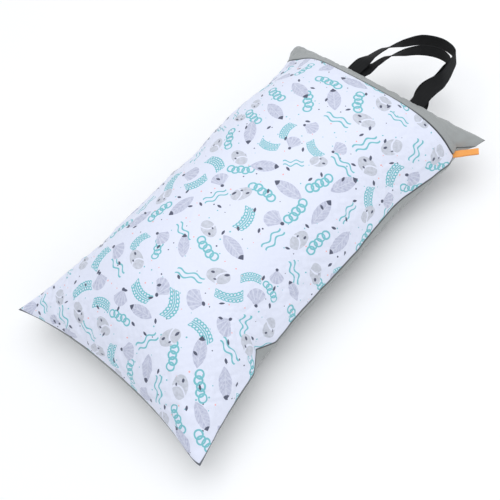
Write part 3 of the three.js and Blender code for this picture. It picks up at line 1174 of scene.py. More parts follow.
@dataclass(frozen=True)
class ZipperRun:
    """The closed zipper behind the slit: two tapes, their coil and the slider."""

    cloth: BagCloth
    start: float = 0.12
    end: float = 0.9
    tape_width: float = 19 * MM
    tape_thickness: float = 0.7 * MM
    tape_depth: float = 1.3 * MM
    tape_steps: int = 120
    tape_lines: int = 9
    coil_pitch: float = 2.4 * MM
    coil_half_width: float = 2.0 * MM
    coil_half_height: float = 0.5 * MM
    coil_above_tape: float = 0.2 * MM
    coil_thread: float = 0.45 * MM
    coil_steps: int = 8
    thread_sides: int = 6
    slider_size: tuple[float, float, float] = (14 * MM, 9 * MM, 3.2 * MM)
    slider_edge: float = 1.2 * MM
    slider_edge_steps: int = 3
    slider_places: int = 40
    slider_place: int = 2

    def line(self, count: int) -> tuple[np.ndarray, np.ndarray, np.ndarray]:
        """Points, normals and the uphill directions of the cloth at the slit.

        Args:
            count: how many places.

        Returns:
            Three arrays, each (count, 3).
        """
        cut = self.cloth.cut
        places = np.linspace(self.start, self.end, count) * cut.columns
        row = cut.print_rows
        near = between(self.cloth.front[:, row - 3 : row + 4], places, 0)
        normals = unit(between(grid_normals(self.cloth.front)[:, row], places, 0))
        return near[:, 3], normals, unit(near[:, 5] - near[:, 1])

    def build(self, finishes: "BagFinishes") -> list[bpy.types.Object]:
        """Builds tape, coil and slider, as separate pieces.

        Args:
            finishes: the bag's materials.

        Returns:
            The three pieces.
        """
        points, normals, up = self.line(self.tape_steps)
        across = np.linspace(-0.5, 0.5, self.tape_lines) * self.tape_width
        sunk = points - normals * self.tape_depth
        tape = grid_object("zipper_tape", sunk[:, None] + up[:, None] * across[None, :, None])
        thicken(tape, self.tape_thickness)
        finish_piece(tape, finishes.zipper)
        return [tape, self.coil(finishes.zipper), self.slider(finishes.metal)]

    def coil(self, finish: bpy.types.Material) -> bpy.types.Object:
        """Builds the coil, a close screw of thread stood on the tape.

        Args:
            finish: its material.

        Returns:
            The coil.
        """
        length = (self.end - self.start) * self.cloth.cut.width
        turns = int(length / self.coil_pitch)
        points, normals, up = self.line(turns * self.coil_steps + 1)
        run = unit(np.gradient(points, axis=0))
        angle = np.linspace(0, 2 * math.pi * turns, len(points))[:, None]
        helix = points - normals * (self.tape_depth - self.coil_above_tape)
        helix = helix + up * (self.coil_half_width * np.cos(angle))
        helix = helix + normals * (self.coil_half_height * np.sin(angle))
        sides = np.linspace(0, 2 * math.pi, self.thread_sides + 1)[None, :, None]
        ring = normals[:, None] * np.sin(sides) + run[:, None] * np.cos(sides)
        coil = grid_object("zipper_coil", helix[:, None] + ring * self.coil_thread)
        point_outwards(coil, 0.01 * MM)
        return finish_piece(coil, finish, 80)

    def slider(self, finish: bpy.types.Material) -> bpy.types.Object:
        """Builds the slider's body, below the slit near its left end.

        Args:
            finish: its material.

        Returns:
            The slider.
        """
        points, normals, up = self.line(self.slider_places)
        place = self.slider_place
        run = unit(points[place + 1] - points[place - 1])
        turn = Matrix((run, up[place], normals[place])).transposed()
        deselect()
        bpy.ops.mesh.primitive_cube_add(size=1)
        body = bpy.context.object
        body.name = body.data.name = "zipper_slider"
        bpy.ops.object.mode_set(mode="EDIT")
        bpy.ops.mesh.select_all(action="SELECT")
        bpy.ops.transform.resize(value=self.slider_size)
        bpy.ops.object.mode_set(mode="OBJECT")
        centre = Vector(points[place] - normals[place] * (self.tape_depth + self.slider_size[2] / 2))
        body.data.transform(Matrix.Translation(centre) @ turn.to_4x4())
        bevel = body.modifiers.new("cast", "BEVEL")
        bevel.width = self.slider_edge
        bevel.segments = self.slider_edge_steps
        return finish_piece(body, finish)


@dataclass(frozen=True)
class StitchLine:
    """A row of sewing stitches, each a short rounded length of thread."""

    name: str
    length: float = 2.9 * MM
    pitch: float = 3.7 * MM
    radius: float = 0.26 * MM
    sink: float = 0.06 * MM
    blunt: float = 0.8

    def stitch(self) -> tuple[np.ndarray, list[tuple[int, ...]]]:
        """Points and faces of one stitch, two units long and wide, its ends blunted.

        Returns:
            The points, (points, 3), and each face's point numbers.
        """
        deselect()
        bpy.ops.mesh.primitive_uv_sphere_add(segments=8, ring_count=6, radius=1)
        template = bpy.context.object
        base = np.array([vertex.co[:] for vertex in template.data.vertices])
        faces = [tuple(face.vertices) for face in template.data.polygons]
        bpy.data.objects.remove(template, do_unlink=True)
        return np.sign(base) * np.abs(base) ** np.array([1.0, 1.0, self.blunt]), faces

    def build(self, path: np.ndarray, normals: np.ndarray, finish: bpy.types.Material) -> bpy.types.Object:
        """Lays stitches along a path.

        Args:
            path: the path's points on the cloth's outside.
            normals: the cloth's outward normals there.
            finish: the thread.

        Returns:
            All the stitches, as one mesh.
        """
        run = arc_lengths(path)
        count = int(run[-1] / self.pitch)
        half = self.length / self.pitch / 2
        ends = (np.arange(count)[:, None] + np.array([0.5 - half, 0.5 + half])) * self.pitch
        start, end, up = (
            np.stack([np.interp(at, run, line[:, axis]) for axis in range(3)], -1)
            for at, line in ((ends[:, 0], path), (ends[:, 1], path), (ends.mean(1), normals))
        )
        ahead = (end - start) / 2
        side = unit(np.cross(up, ahead))
        lift = unit(np.cross(ahead, side))
        middle = (start + end) / 2 - lift * self.sink
        shaped, faces = self.stitch()
        points = (
            middle[:, None]
            + ahead[:, None] * shaped[None, :, 2:3]
            + side[:, None] * shaped[None, :, 0:1] * self.radius
            + lift[:, None] * shaped[None, :, 1:2] * self.radius
        )
        mesh = bpy.data.meshes.new(self.name)
        firsts = [number * len(shaped) for number in range(count)]
        copies = [tuple(first + index for index in face) for first in firsts for face in faces]
        mesh.from_pydata(points.reshape(-1, 3).tolist(), [], copies)
        obj = bpy.data.objects.new(self.name, mesh)
        bpy.context.scene.collection.objects.link(obj)
        point_outwards(obj)
        LOG.info("%s: %d stitches", self.name, count)
        return finish_piece(obj, finish, 80)


# Finishes


def set_input(socket: bpy.types.NodeSocket, value: Input) -> None:
    """Sets a socket to a value, or links it from a socket or a node's first open output.

    Args:
        socket: the input.
        value: a number, a tuple, a node or another node's socket.
    """
    if isinstance(value, bpy.types.Node):
        value = next(output for output in value.outputs if output.enabled)
    if isinstance(value, bpy.types.NodeSocket):
        socket.id_data.links.new(value, socket)
    else:
        socket.default_value = value


def add_node(tree: bpy.types.NodeTree, kind: str, *values: Input, **named: object) -> bpy.types.Node:
    """Adds one node with its settings and links.

    Args:
        tree: the node tree.
        kind: the node's type, with its operation after a dot where it has one.
        *values: what its first open inputs are set to or linked from, in order.
        **named: an input in capitals, with _ for a space, or a setting in small letters.

    Returns:
        The node.
    """
    kind, _, operation = kind.partition(".")
    node = tree.nodes.new("ShaderNode" + kind)
    if operation:
        node.operation = operation
    for name, value in named.items():
        if name[0].islower():
            setattr(node, name, value)
    for socket, value in zip([socket for socket in node.inputs if socket.enabled], values):
        set_input(socket, value)
    for name, value in named.items():
        if name[0].isupper():
            set_input(node.inputs[name.replace("_", " ")], value)
    return node


class FinishTree:
    """A material in the making, and how its nodes are added to it."""

    def __init__(self, name: str) -> None:
        """Starts an empty material.

        Args:
            name: the material's name.
        """
        self.material = bpy.data.materials.new(name)
        self.material.use_nodes = True
        self.material.node_tree.nodes.clear()
        self.add = partial(add_node, self.material.node_tree)

    def cloth_measure(self) -> bpy.types.Node:
        """The cloth's own measure in millimetres, from its map."""
        return self.add("VectorMath.SCALE", self.add("UVMap", uv_map="cloth"), 1 / MM)

    def circle(self, place: Input, centre: tuple[float, float], radius: float) -> bpy.types.Node:
        """Distance of a place from a circle's edge, below nought inside it."""
        return self.add("Math.SUBTRACT", self.add("VectorMath.DISTANCE", place, (*centre, 0.0)), radius)

    def paint(
        self, distance: Input, below: Input, colour: Input, share: Input = 1.0, edge: float = 0.22
    ) -> bpy.types.Node:
        """Paints a shape over what is there.

        Args:
            distance: millimetres from the shape's edge, below nought inside it.
            below: the colour that is there.
            colour: the shape's colour.
            share: how much of it covers.
            edge: half the width of the shape's soft edge.

        Returns:
            The colour with the shape on it.
        """
        mask = self.add("MapRange", distance, edge, -edge, 0.0, share, interpolation_type="SMOOTHSTEP")
        return self.add("Mix", mask, below, colour, data_type="RGBA")

    def shaded(self, colour: str, pattern: Input, low: float, high: float) -> bpy.types.Node:
        """A colour made a little darker and lighter by a pattern."""
        shade = self.add("MapRange", pattern, To_Min=low, To_Max=high)
        return self.add("VectorMath.SCALE", linear(colour)[:3], shade)

    def dressed(self, **sockets: Input) -> bpy.types.Material:
        """Ends the tree in a shader with the given sockets and returns the material.

        Args:
            **sockets: the shader's sockets, with _ for a space.

        Returns:
            The material.
        """
        shader = self.add("BsdfPrincipled", **sockets)
        self.add("OutputMaterial", Surface=shader)
        return self.material


@dataclass(frozen=True)
class Inks:
    """The print's colours."""

    ground: str = "#DFE3F2"
    leaf: str = "#ADB1C9"
    pebble: str = "#B7BBC4"
    pale: str = "#D6DAE8"
    teal: str = "#73BCC5"
    dark: str = "#4C5166"
    pink: str = "#F0A9A4"


@dataclass(frozen=True)
class Cell:
    """The room of one motif: its own measure in mm, whole and by axis, and a faint wash."""

    tree: FinishTree
    inks: Inks
    place: Input
    x: Input
    y: Input
    wash: Input

    def washed(self, colour: str) -> bpy.types.Node:
        """An ink that pales unevenly, as a wash does."""
        return self.tree.add("Mix", self.wash, linear(colour), linear(self.inks.pale), data_type="RGBA")

    def past(self, half: float) -> bpy.types.Node:
        """Distance past a motif's half length."""
        return self.tree.add("Math.SUBTRACT", self.tree.add("Math.ABSOLUTE", self.x), half)


@dataclass(frozen=True)
class Leaf:
    """A pointed leaf between two arcs, with paler veins and a dark tip."""

    share: float = 0.4
    half: float = 20.0
    belly: float = 8.4
    rib: float = 0.5
    slant: float = 1.1
    vein_spacing: float = 2.6
    vein: float = 0.42
    vein_cover: float = 0.7
    vein_reach: float = 0.78
    tip: float = 6.5

    def draw(self, cell: Cell, below: Input, chosen: Input) -> bpy.types.Node:
        """Draws the leaf over what is below it, where it is chosen.

        Args:
            cell: the room that it is drawn in.
            below: the colour that is there.
            chosen: 1 where the motif is drawn, 0 elsewhere.

        Returns:
            The colour with the motif on it.
        """
        tree, add = cell.tree, cell.tree.add
        radius = (self.half**2 + self.belly**2) / (2 * self.belly)
        upper = tree.circle(cell.place, (0.0, self.belly - radius), radius)
        lower = tree.circle(cell.place, (0.0, radius - self.belly), radius)
        side = add("Math.ABSOLUTE", cell.y)
        rib = add("Math.SUBTRACT", side, self.rib)
        slant = add("Math.MULTIPLY_ADD", side, -self.slant, cell.x)
        vein = add("Math.SUBTRACT", add("Math.PINGPONG", slant, self.vein_spacing), self.vein)
        veins = add("Math.MAXIMUM", add("Math.MINIMUM", rib, vein), cell.past(self.half * self.vein_reach))
        colour = cell.washed(cell.inks.leaf)
        colour = tree.paint(veins, colour, linear(cell.inks.pale), self.vein_cover)
        tip = tree.circle(cell.place, (self.half, 0.0), self.tip)
        colour = tree.paint(tip, colour, linear(cell.inks.dark))
        return tree.paint(add("Math.MAXIMUM", upper, lower), below, colour, chosen)


@dataclass(frozen=True)
class Pebble:
    """A rounded pebble with a pale band across it and two dark flecks."""

    share: float = 0.32
    radius: float = 9.6
    squeeze: float = 0.66
    band_centre: tuple[float, float] = (-11.0, 4.0)
    band_radius: float = 12.0
    band: float = 0.8
    fleck_squeeze: float = 0.6
    flecks: tuple[tuple[tuple[float, float], float], ...] = (((4.6, -3.0), 1.5), ((1.6, 4.8), 1.1))

    def draw(self, cell: Cell, below: Input, chosen: Input) -> bpy.types.Node:
        """Draws the pebble over what is below it, where it is chosen.

        Args:
            cell: the room that it is drawn in.
            below: the colour that is there.
            chosen: 1 where the motif is drawn, 0 elsewhere.

        Returns:
            The colour with the motif on it.
        """
        tree, add = cell.tree, cell.tree.add
        oval = add("VectorMath.MULTIPLY", cell.place, (self.squeeze, 1.0, 1.0))
        from_band = add("Math.ABSOLUTE", tree.circle(oval, self.band_centre, self.band_radius))
        band = add("Math.SUBTRACT", from_band, self.band)
        colour = tree.paint(band, cell.washed(cell.inks.pebble), linear(cell.inks.ground))
        long = add("VectorMath.MULTIPLY", cell.place, (self.fleck_squeeze, 1.0, 1.0))
        for centre, radius in self.flecks:
            colour = tree.paint(tree.circle(long, centre, radius), colour, linear(cell.inks.dark))
        return tree.paint(tree.circle(oval, (0.0, 0.0), self.radius), below, colour, chosen)


@dataclass(frozen=True)
class Shell:
    """A ribbed shell: a fan of pale ribs from a dark hinge."""

    share: float = 0.28
    radius: float = 12.5
    fan_from: float = 11.5
    wedge_slope: float = 12.0
    wedge: float = 9.2
    rib_turns: float = 21.0
    rib_from: float = 0.55
    rib_cover: float = 0.6
    hinge_place: float = 11.0
    hinge: float = 2.4

    def draw(self, cell: Cell, below: Input, chosen: Input) -> bpy.types.Node:
        """Draws the shell over what is below it, where it is chosen.

        Args:
            cell: the room that it is drawn in.
            below: the colour that is there.
            chosen: 1 where the motif is drawn, 0 elsewhere.

        Returns:
            The colour with the motif on it.
        """
        tree, add = cell.tree, cell.tree.add
        angle = add("Math.ARCTAN2", cell.x, add("Math.ADD", cell.y, self.fan_from))
        wedge = add("Math.MULTIPLY", add("Math.ABSOLUTE", angle), self.wedge_slope)
        wedge = add("Math.SUBTRACT", wedge, self.wedge)
        shell = add("Math.MAXIMUM", tree.circle(cell.place, (0.0, 0.0), self.radius), wedge)
        wave = add("Math.SINE", add("Math.MULTIPLY", angle, self.rib_turns))
        ribs = add("Math.MULTIPLY", add("Math.GREATER_THAN", wave, self.rib_from), self.rib_cover)
        pale = linear(cell.inks.pale)
        colour = add("Mix", ribs, cell.washed(cell.inks.leaf), pale, data_type="RGBA")
        result = tree.paint(shell, below, colour, chosen)
        hinge = tree.circle(cell.place, (0.0, -self.hinge_place), self.hinge)
        return tree.paint(hinge, result, linear(cell.inks.dark), chosen)


@dataclass(frozen=True)
class Links:
    """Thin rings that overlap in a row."""

    share: float = 0.44
    centres: tuple[tuple[float, float], ...] = (
        (-13.8, 1.4),
        (-7.0, -0.9),
        (0.0, 0.9),
        (7.0, -0.9),
        (13.8, 1.4),
    )
    radius: float = 4.9
    stroke: float = 1.1

    def draw(self, cell: Cell, below: Input, chosen: Input) -> bpy.types.Node:
        """Draws the rings over what is below them, where they are chosen.

        Args:
            cell: the room that it is drawn in.
            below: the colour that is there.
            chosen: 1 where the motif is drawn, 0 elsewhere.

        Returns:
            The colour with the motif on it.
        """
        tree, add = cell.tree, cell.tree.add
        rings = []
        for centre in self.centres:
            rings.append(add("Math.ABSOLUTE", tree.circle(cell.place, centre, self.radius)))
        nearest = reduce(partial(add, "Math.MINIMUM"), rings)
        return tree.paint(add("Math.SUBTRACT", nearest, self.stroke), below, linear(cell.inks.teal), chosen)


@dataclass(frozen=True)
class Wave:
    """Two teal wave lines, one over the other."""

    share: float = 0.26
    half: float = 17.0
    turn: float = 0.34
    height: float = 2.1
    apart: float = 3.4
    stroke: float = 1.1

    def draw(self, cell: Cell, below: Input, chosen: Input) -> bpy.types.Node:
        """Draws the waves over what is below them, where they are chosen.

        Args:
            cell: the room that it is drawn in.
            below: the colour that is there.
            chosen: 1 where the motif is drawn, 0 elsewhere.

        Returns:
            The colour with the motif on it.
        """
        add = cell.tree.add
        wave = add("Math.SINE", add("Math.MULTIPLY", cell.x, self.turn))
        side = add("Math.SUBTRACT", cell.y, add("Math.MULTIPLY", wave, self.height))
        pair = add("Math.ABSOLUTE", add("Math.SUBTRACT", add("Math.ABSOLUTE", side), self.apart))
        shape = add("Math.MAXIMUM", add("Math.SUBTRACT", pair, self.stroke), cell.past(self.half))
        return cell.tree.paint(shape, below, linear(cell.inks.teal), chosen)


@dataclass(frozen=True)
class Sprig:
    """A bowed stem with rings for buds on both its sides."""

    share: float = 0.3
    half: float = 16.8
    bow: float = 0.018
    stem: float = 0.88
    bud_spacing: float = 4.2
    bud_out: float = 4.4
    bud: float = 2.1
    ring: float = 0.825

    def draw(self, cell: Cell, below: Input, chosen: Input) -> bpy.types.Node:
        """Draws the sprig over what is below it, where it is chosen.

        Args:
            cell: the room that it is drawn in.
            below: the colour that is there.
            chosen: 1 where the motif is drawn, 0 elsewhere.

        Returns:
            The colour with the motif on it.
        """
        tree, add = cell.tree, cell.tree.add
        bow = add("Math.MULTIPLY", add("Math.MULTIPLY", cell.x, cell.x), self.bow)
        side = add("Math.ABSOLUTE", add("Math.SUBTRACT", cell.y, bow))
        along = add("Math.SUBTRACT", add("Math.PINGPONG", cell.x, self.bud_spacing), self.bud_spacing / 2)
        bud = add("CombineXYZ", along, add("Math.SUBTRACT", side, self.bud_out))
        from_ring = add("Math.ABSOLUTE", tree.circle(bud, (0.0, 0.0), self.bud))
        ring = add("Math.SUBTRACT", from_ring, self.ring)
        shape = add("Math.MINIMUM", add("Math.SUBTRACT", side, self.stem), ring)
        shape = add("Math.MAXIMUM", shape, cell.past(self.half))
        return tree.paint(shape, below, linear(cell.inks.teal), chosen)


class Layer(Enum):
    """The print's two layers of motifs, each with its shift in shares of their spacing."""

    LINES = (0.5, 0.46, 0.0)
    SHAPES = (0.0, 0.0, 0.0)


@dataclass(frozen=True)
class ClothPrint:
    """The all-over print: its motifs and their spacings in millimetres."""

    inks: Inks = field(default_factory=Inks)
    spacing: float = 52.0
    scatter: float = 0.42
    half: float = 20.0
    largest: float = 1.15
    wash_scale: float = 0.22
    wash_range: tuple[float, float] = (0.3, 0.7)
    wash_cover: float = 0.75
    seed_spacing: float = 34.0
    seed_scatter: float = 0.8
    seed_shift: tuple[float, float, float] = (11.0, 23.0, 0.0)
    seed_arc: float = 5.2
    seed_bow: float = 3.4
    dot_spacing: float = 15.0
    dot_scatter: float = 0.9
    dot_shift: tuple[float, float, float] = (7.0, 3.0, 0.0)
    dot_sizes: tuple[float, float] = (0.6, 0.7)
    dot_ink_starts: tuple[float, float] = (0.3, 0.7)
    bare_share: float = 0.45

    def colour(self, tree: FinishTree, place: Input) -> bpy.types.Node:
        """Builds the print's colour: dots, lines, shapes and seeds.

        Args:
            tree: the material's tree.
            place: the cloth's measure in mm.

        Returns:
            The colour.
        """
        add = tree.add
        noise = add("TexNoise", Vector=place, Scale=self.wash_scale, Detail=4.0, Roughness=0.6)
        wash = add("MapRange", noise, *self.wash_range, 0.0, self.wash_cover)
        result = self.dots(tree, place)
        lines, shapes = (Links(), Wave(), Sprig()), (Leaf(), Pebble(), Shell())
        for layer, motifs in ((Layer.LINES, lines), (Layer.SHAPES, shapes)):
            shift = tuple(self.spacing * value for value in layer.value)
            cell, chance = self.cell(tree, add("VectorMath.ADD", place, shift), wash)
            start = 0.0
            for motif in motifs:
                above = add("Math.GREATER_THAN", chance, start)
                start += motif.share
                chosen = add("Math.MULTIPLY", above, add("Math.LESS_THAN", chance, start))
                result = motif.draw(cell, result, chosen)
        return self.seeds(tree, place, result)

    def scattered(
        self, tree: FinishTree, place: Input, spacing: float, scatter: float
    ) -> tuple[bpy.types.Node, bpy.types.Node, bpy.types.Node]:
        """Scatters places over the cloth.

        Args:
            tree: the material's tree.
            place: the cloth's measure in mm.
            spacing: how far apart they are in mm.
            scatter: how unevenly, 0 to 1.

        Returns:
            The scatter, its three chances for each place, and the place's own turned measure.
        """
        add = tree.add
        scale = {"Vector": place, "Scale": 1 / spacing, "Randomness": scatter}
        points = add("TexVoronoi", **scale, feature="F1", voronoi_dimensions="2D")
        chances = add("SeparateColor", points.outputs["Color"])
        away = add("VectorMath.SUBTRACT", place, points.outputs["Position"])
        turn = add("Math.MULTIPLY", chances.outputs[1], 2 * math.pi)
        own = add("VectorRotate", Vector=away, Angle=turn, rotation_type="Z_AXIS")
        return points, chances, own

    def cell(self, tree: FinishTree, place: Input, wash: Input) -> tuple[Cell, bpy.types.NodeSocket]:
        """Each motif's own measure, drawn to fit its room, and its chance.

        Args:
            tree: the material's tree.
            place: the cloth's measure in mm.
            wash: how pale a wash is at each place.

        Returns:
            The motif's room, and its chance from 0 to 1.
        """
        add = tree.add
        _, chances, turned = self.scattered(tree, place, self.spacing, self.scatter)
        scale = {"Vector": place, "Scale": 1 / self.spacing, "Randomness": self.scatter}
        room = add("TexVoronoi", **scale, feature="N_SPHERE_RADIUS", voronoi_dimensions="2D")
        radius = add("Math.MULTIPLY", room, self.spacing)
        size = add("Math.MINIMUM", add("Math.DIVIDE", radius, self.half), self.largest)
        own = add("VectorMath.SCALE", turned, add("Math.DIVIDE", 1.0, size))
        axes = add("SeparateXYZ", own)
        return Cell(tree, self.inks, own, axes.outputs[0], axes.outputs[1], wash), chances.outputs[0]

    def seeds(self, tree: FinishTree, place: Input, below: Input) -> bpy.types.Node:
        """Small dark seeds, scattered and turned every way.

        Args:
            tree: the material's tree.
            place: the cloth's measure in mm.
            below: the colour that is there.

        Returns:
            The colour with the seeds on it.
        """
        add = tree.add
        moved = add("VectorMath.ADD", place, self.seed_shift)
        _, chances, own = self.scattered(tree, moved, self.seed_spacing, self.seed_scatter)
        arcs = [tree.circle(own, (0.0, side * self.seed_bow), self.seed_arc) for side in (-1, 1)]
        shown = add("Math.GREATER_THAN", chances.outputs[0], self.bare_share)
        return tree.paint(add("Math.MAXIMUM", *arcs), below, linear(self.inks.dark), shown)

    def dots(self, tree: FinishTree, place: Input) -> bpy.types.Node:
        """The pale ground with its small scattered dots.

        Args:
            tree: the material's tree.
            place: the cloth's measure in mm.

        Returns:
            The colour of ground and dots.
        """
        add = tree.add
        moved = add("VectorMath.ADD", place, self.dot_shift)
        points, chances, _ = self.scattered(tree, moved, self.dot_spacing, self.dot_scatter)
        least, spread = self.dot_sizes
        size = add("Math.MULTIPLY_ADD", chances.outputs[0], spread, least)
        distance = add("Math.MULTIPLY", points.outputs["Distance"], self.dot_spacing)
        shown = add("Math.GREATER_THAN", chances.outputs[2], self.bare_share)
        colour = linear(self.inks.pink)
        for start, ink in zip(self.dot_ink_starts, (self.inks.teal, self.inks.dark)):
            over = add("Math.GREATER_THAN", chances.outputs[1], start)
            colour = add("Mix", over, colour, linear(ink), data_type="RGBA")
        return tree.paint(add("Math.SUBTRACT", distance, size), linear(self.inks.ground), colour, shown)


@dataclass(frozen=True)
class Knit:
    """A fine knit's loops and the broad faint wrinkles of its film, in millimetres."""

    pitch: float
    height: float
    wrinkle: float
    course_ratio: float = 1.3
    wrinkle_scale: float = 0.035

    def bump(self, tree: FinishTree, place: Input) -> bpy.types.Node:
        """The knit's bumped normal over the cloth's measure.

        Args:
            tree: the material's tree.
            place: the cloth's measure in mm.

        Returns:
            The node that gives the normal.
        """
        add = tree.add
        axes = add("SeparateXYZ", place)
        turn = 2 * math.pi / self.pitch
        rows = add("Math.SINE", add("Math.MULTIPLY", axes.outputs[0], turn))
        courses = add("Math.SINE", add("Math.MULTIPLY", axes.outputs[1], turn * self.course_ratio))
        knit = add("Math.MULTIPLY", add("Math.MULTIPLY", rows, courses), self.height / 2)
        broad = add("TexNoise", Vector=place, Scale=self.wrinkle_scale, Detail=3.0, Roughness=0.55)
        wave = add("Math.MULTIPLY", add("Math.SUBTRACT", broad, 0.5), self.wrinkle)
        total = add("Math.MULTIPLY", add("Math.ADD", knit, wave), MM)
        return add("Bump", Height=total, Strength=1.0, Distance=1.0)


@dataclass(frozen=True)
class PaintedSeamShade:
    """A dark line along a cloth's seams and beside its slit, in millimetres: painted shade of the turned
    edge's fold and the slit's gap, with a little of the seam's gray thread.
    """

    cut: ClothCut
    # The colour of the painted seam shade.
    colour: str
    slit: bool
    turn: float = 0.0
    line: float = 1.6
    edge: float = 0.5

    def over(self, tree: FinishTree, place: Input, colour: Input) -> bpy.types.Node:
        """Paints shade into a cloth's colour along its edges, as a darker line.

        Args:
            tree: the material's tree.
            place: the cloth's measure in mm.
            colour: the cloth's colour.

        Returns:
            The colour with the painted shade line along its edges.
        """
        add, cut = tree.add, self.cut
        axes = add("SeparateXYZ", place)
        seams = ((0, 0.0), (0, cut.width), (1, 0.0), (1, cut.length))
        lines = [(axis, end, self.turn) for axis, end in seams]
        if self.slit:
            lines.append((1, cut.slit, 0.0))
        gaps = []
        for axis, end, turn in lines:
            away = add("Math.ABSOLUTE", add("Math.SUBTRACT", axes.outputs[axis], end / MM))
            gaps.append(add("Math.SUBTRACT", away, turn))
        nearest = reduce(partial(add, "Math.MINIMUM"), gaps)
        distance = add("Math.SUBTRACT", nearest, self.line)
        # Painted shade: the seam fold and the slit gap are darkened in the cloth's colour.
        return tree.paint(distance, colour, linear(self.colour), edge=self.edge)


@dataclass(frozen=True)
class PrintedCloth:
    """Printed film-backed knit: the film behind it gives the cloth a soft gloss."""

    artwork: ClothPrint
    seams: PaintedSeamShade
    knit: Knit = field(default_factory=lambda: Knit(1.1, 0.03, 1.4))

    def make(self) -> bpy.types.Material:
        """Makes the material.

        Returns:
            The material.
        """
        tree = FinishTree("printed_cloth")
        place = tree.cloth_measure()
        # The print's colour, with painted shade along its seams and beside its slit.
        colour = self.seams.over(tree, place, self.artwork.colour(tree, place))
        normal = self.knit.bump(tree, place)
        return tree.dressed(
            Base_Color=colour, Normal=normal, Roughness=0.52, Sheen_Weight=0.12, Sheen_Roughness=0.45
        )


@dataclass(frozen=True)
class GrayCloth:
    """Plain gray film-backed knit: even and matt, its fine ribs catch the light."""

    name: str
    seams: PaintedSeamShade
    colour: str = "#9B9E9D"
    knit: Knit = field(default_factory=lambda: Knit(1.0, 0.05, 1.2))

    def make(self) -> bpy.types.Material:
        """Makes the material.

        Returns:
            The material.
        """
        tree = FinishTree(self.name)
        place = tree.cloth_measure()
        cloud = tree.add("TexNoise", Vector=place, Scale=0.9, Detail=2.0)
        # The gray's colour, with painted shade along its seams, and beside the slit on the yoke.
        colour = self.seams.over(tree, place, tree.shaded(self.colour, cloud, 0.92, 1.05))
        normal = self.knit.bump(tree, place)
        return tree.dressed(
            Base_Color=colour, Normal=normal, Roughness=0.58, Sheen_Weight=0.15, Sheen_Roughness=0.4
        )


@dataclass(frozen=True)
class BlackWebbing:
    """Black woven webbing: its herringbone ribs are painted with small gray highlights, and their troughs
    darker as painted shade.
    """

    lane: float = 3.2
    slant: float = 0.9
    rib: float = 1.5
    cord: float = 1.6
    cord_share: float = 0.4
    height: float = 0.09
    # The troughs' painted shade and the ribs' painted highlight.
    deep: str = "#0B0C0D"
    raised: str = "#17181A"

    def make(self) -> bpy.types.Material:
        """Makes the material.

        Returns:
            The material.
        """
        tree = FinishTree("webbing")
        add = tree.add
        axes = add("SeparateXYZ", tree.cloth_measure())
        lane = add("Math.PINGPONG", axes.outputs[0], self.lane)
        weave = add("Math.MULTIPLY_ADD", lane, self.slant, axes.outputs[1])
        ribs = add("Math.SINE", add("Math.MULTIPLY", weave, 2 * math.pi / self.rib))
        cord = add("Math.SINE", add("Math.MULTIPLY", axes.outputs[0], 2 * math.pi / self.cord))
        relief = add("Math.MULTIPLY_ADD", cord, self.cord_share, ribs)
        height = add("Math.MULTIPLY", relief, self.height * MM)
        share = add("Math.MULTIPLY_ADD", ribs, 0.5, 0.5)
        # Lighter on the rib crests and darker in the troughs: painted highlight and painted shade.
        colour = add("Mix", share, linear(self.deep), linear(self.raised), data_type="RGBA")
        normal = add("Bump", Height=height, Strength=1.0, Distance=1.0)
        return tree.dressed(Base_Color=colour, Normal=normal, Roughness=0.75, Specular_IOR_Level=0.25)


@dataclass(frozen=True)
class SatinRibbon:
    """Orange satin ribbon: its long floats give a broad soft shine."""

    rib: float = 0.7
    middle: float = 12.0
    half: float = 5.1
    edge: float = 0.22
    height: float = 0.03
    colour: str = "#F3A24A"
    selvedge: str = "#E29038"

    def make(self) -> bpy.types.Material:
        """Makes the material.

        Returns:
            The material.
        """
        tree = FinishTree("tab_ribbon")
        add = tree.add
        axes = add("SeparateXYZ", tree.cloth_measure())
        ribs = add("Math.SINE", add("Math.MULTIPLY", axes.outputs[1], 2 * math.pi / self.rib))
        away = add("Math.ABSOLUTE", add("Math.SUBTRACT", axes.outputs[0], self.middle))
        inward = add("Math.SUBTRACT", self.half, away)
        selvedge = add("MapRange", inward, self.edge, -self.edge, 0.0, 1.0, interpolation_type="SMOOTHSTEP")
        height = add("Math.MULTIPLY", add("Math.ADD", ribs, selvedge), self.height * MM)
        colour = add("Mix", selvedge, linear(self.colour), linear(self.selvedge), data_type="RGBA")
        normal = add("Bump", Height=height, Strength=1.0, Distance=1.0)
        return tree.dressed(Base_Color=colour, Normal=normal, Roughness=0.42, Sheen_Weight=0.1)


@dataclass(frozen=True)
class PlainFinish:
    """A plain finish: thread, tape or painted metal, told apart by its gloss."""

    name: str
    colour: str
    roughness: float
    grain: float = 900.0

    def make(self) -> bpy.types.Material:
        """Makes the material.

        Returns:
            The material.
        """
        tree = FinishTree(self.name)
        grain = tree.add("TexNoise", Vector=tree.add("TexCoord").outputs["Object"], Scale=self.grain)
        colour = tree.shaded(self.colour, grain, 0.85, 1.15)
        return tree.dressed(Base_Color=colour, Roughness=self.roughness)


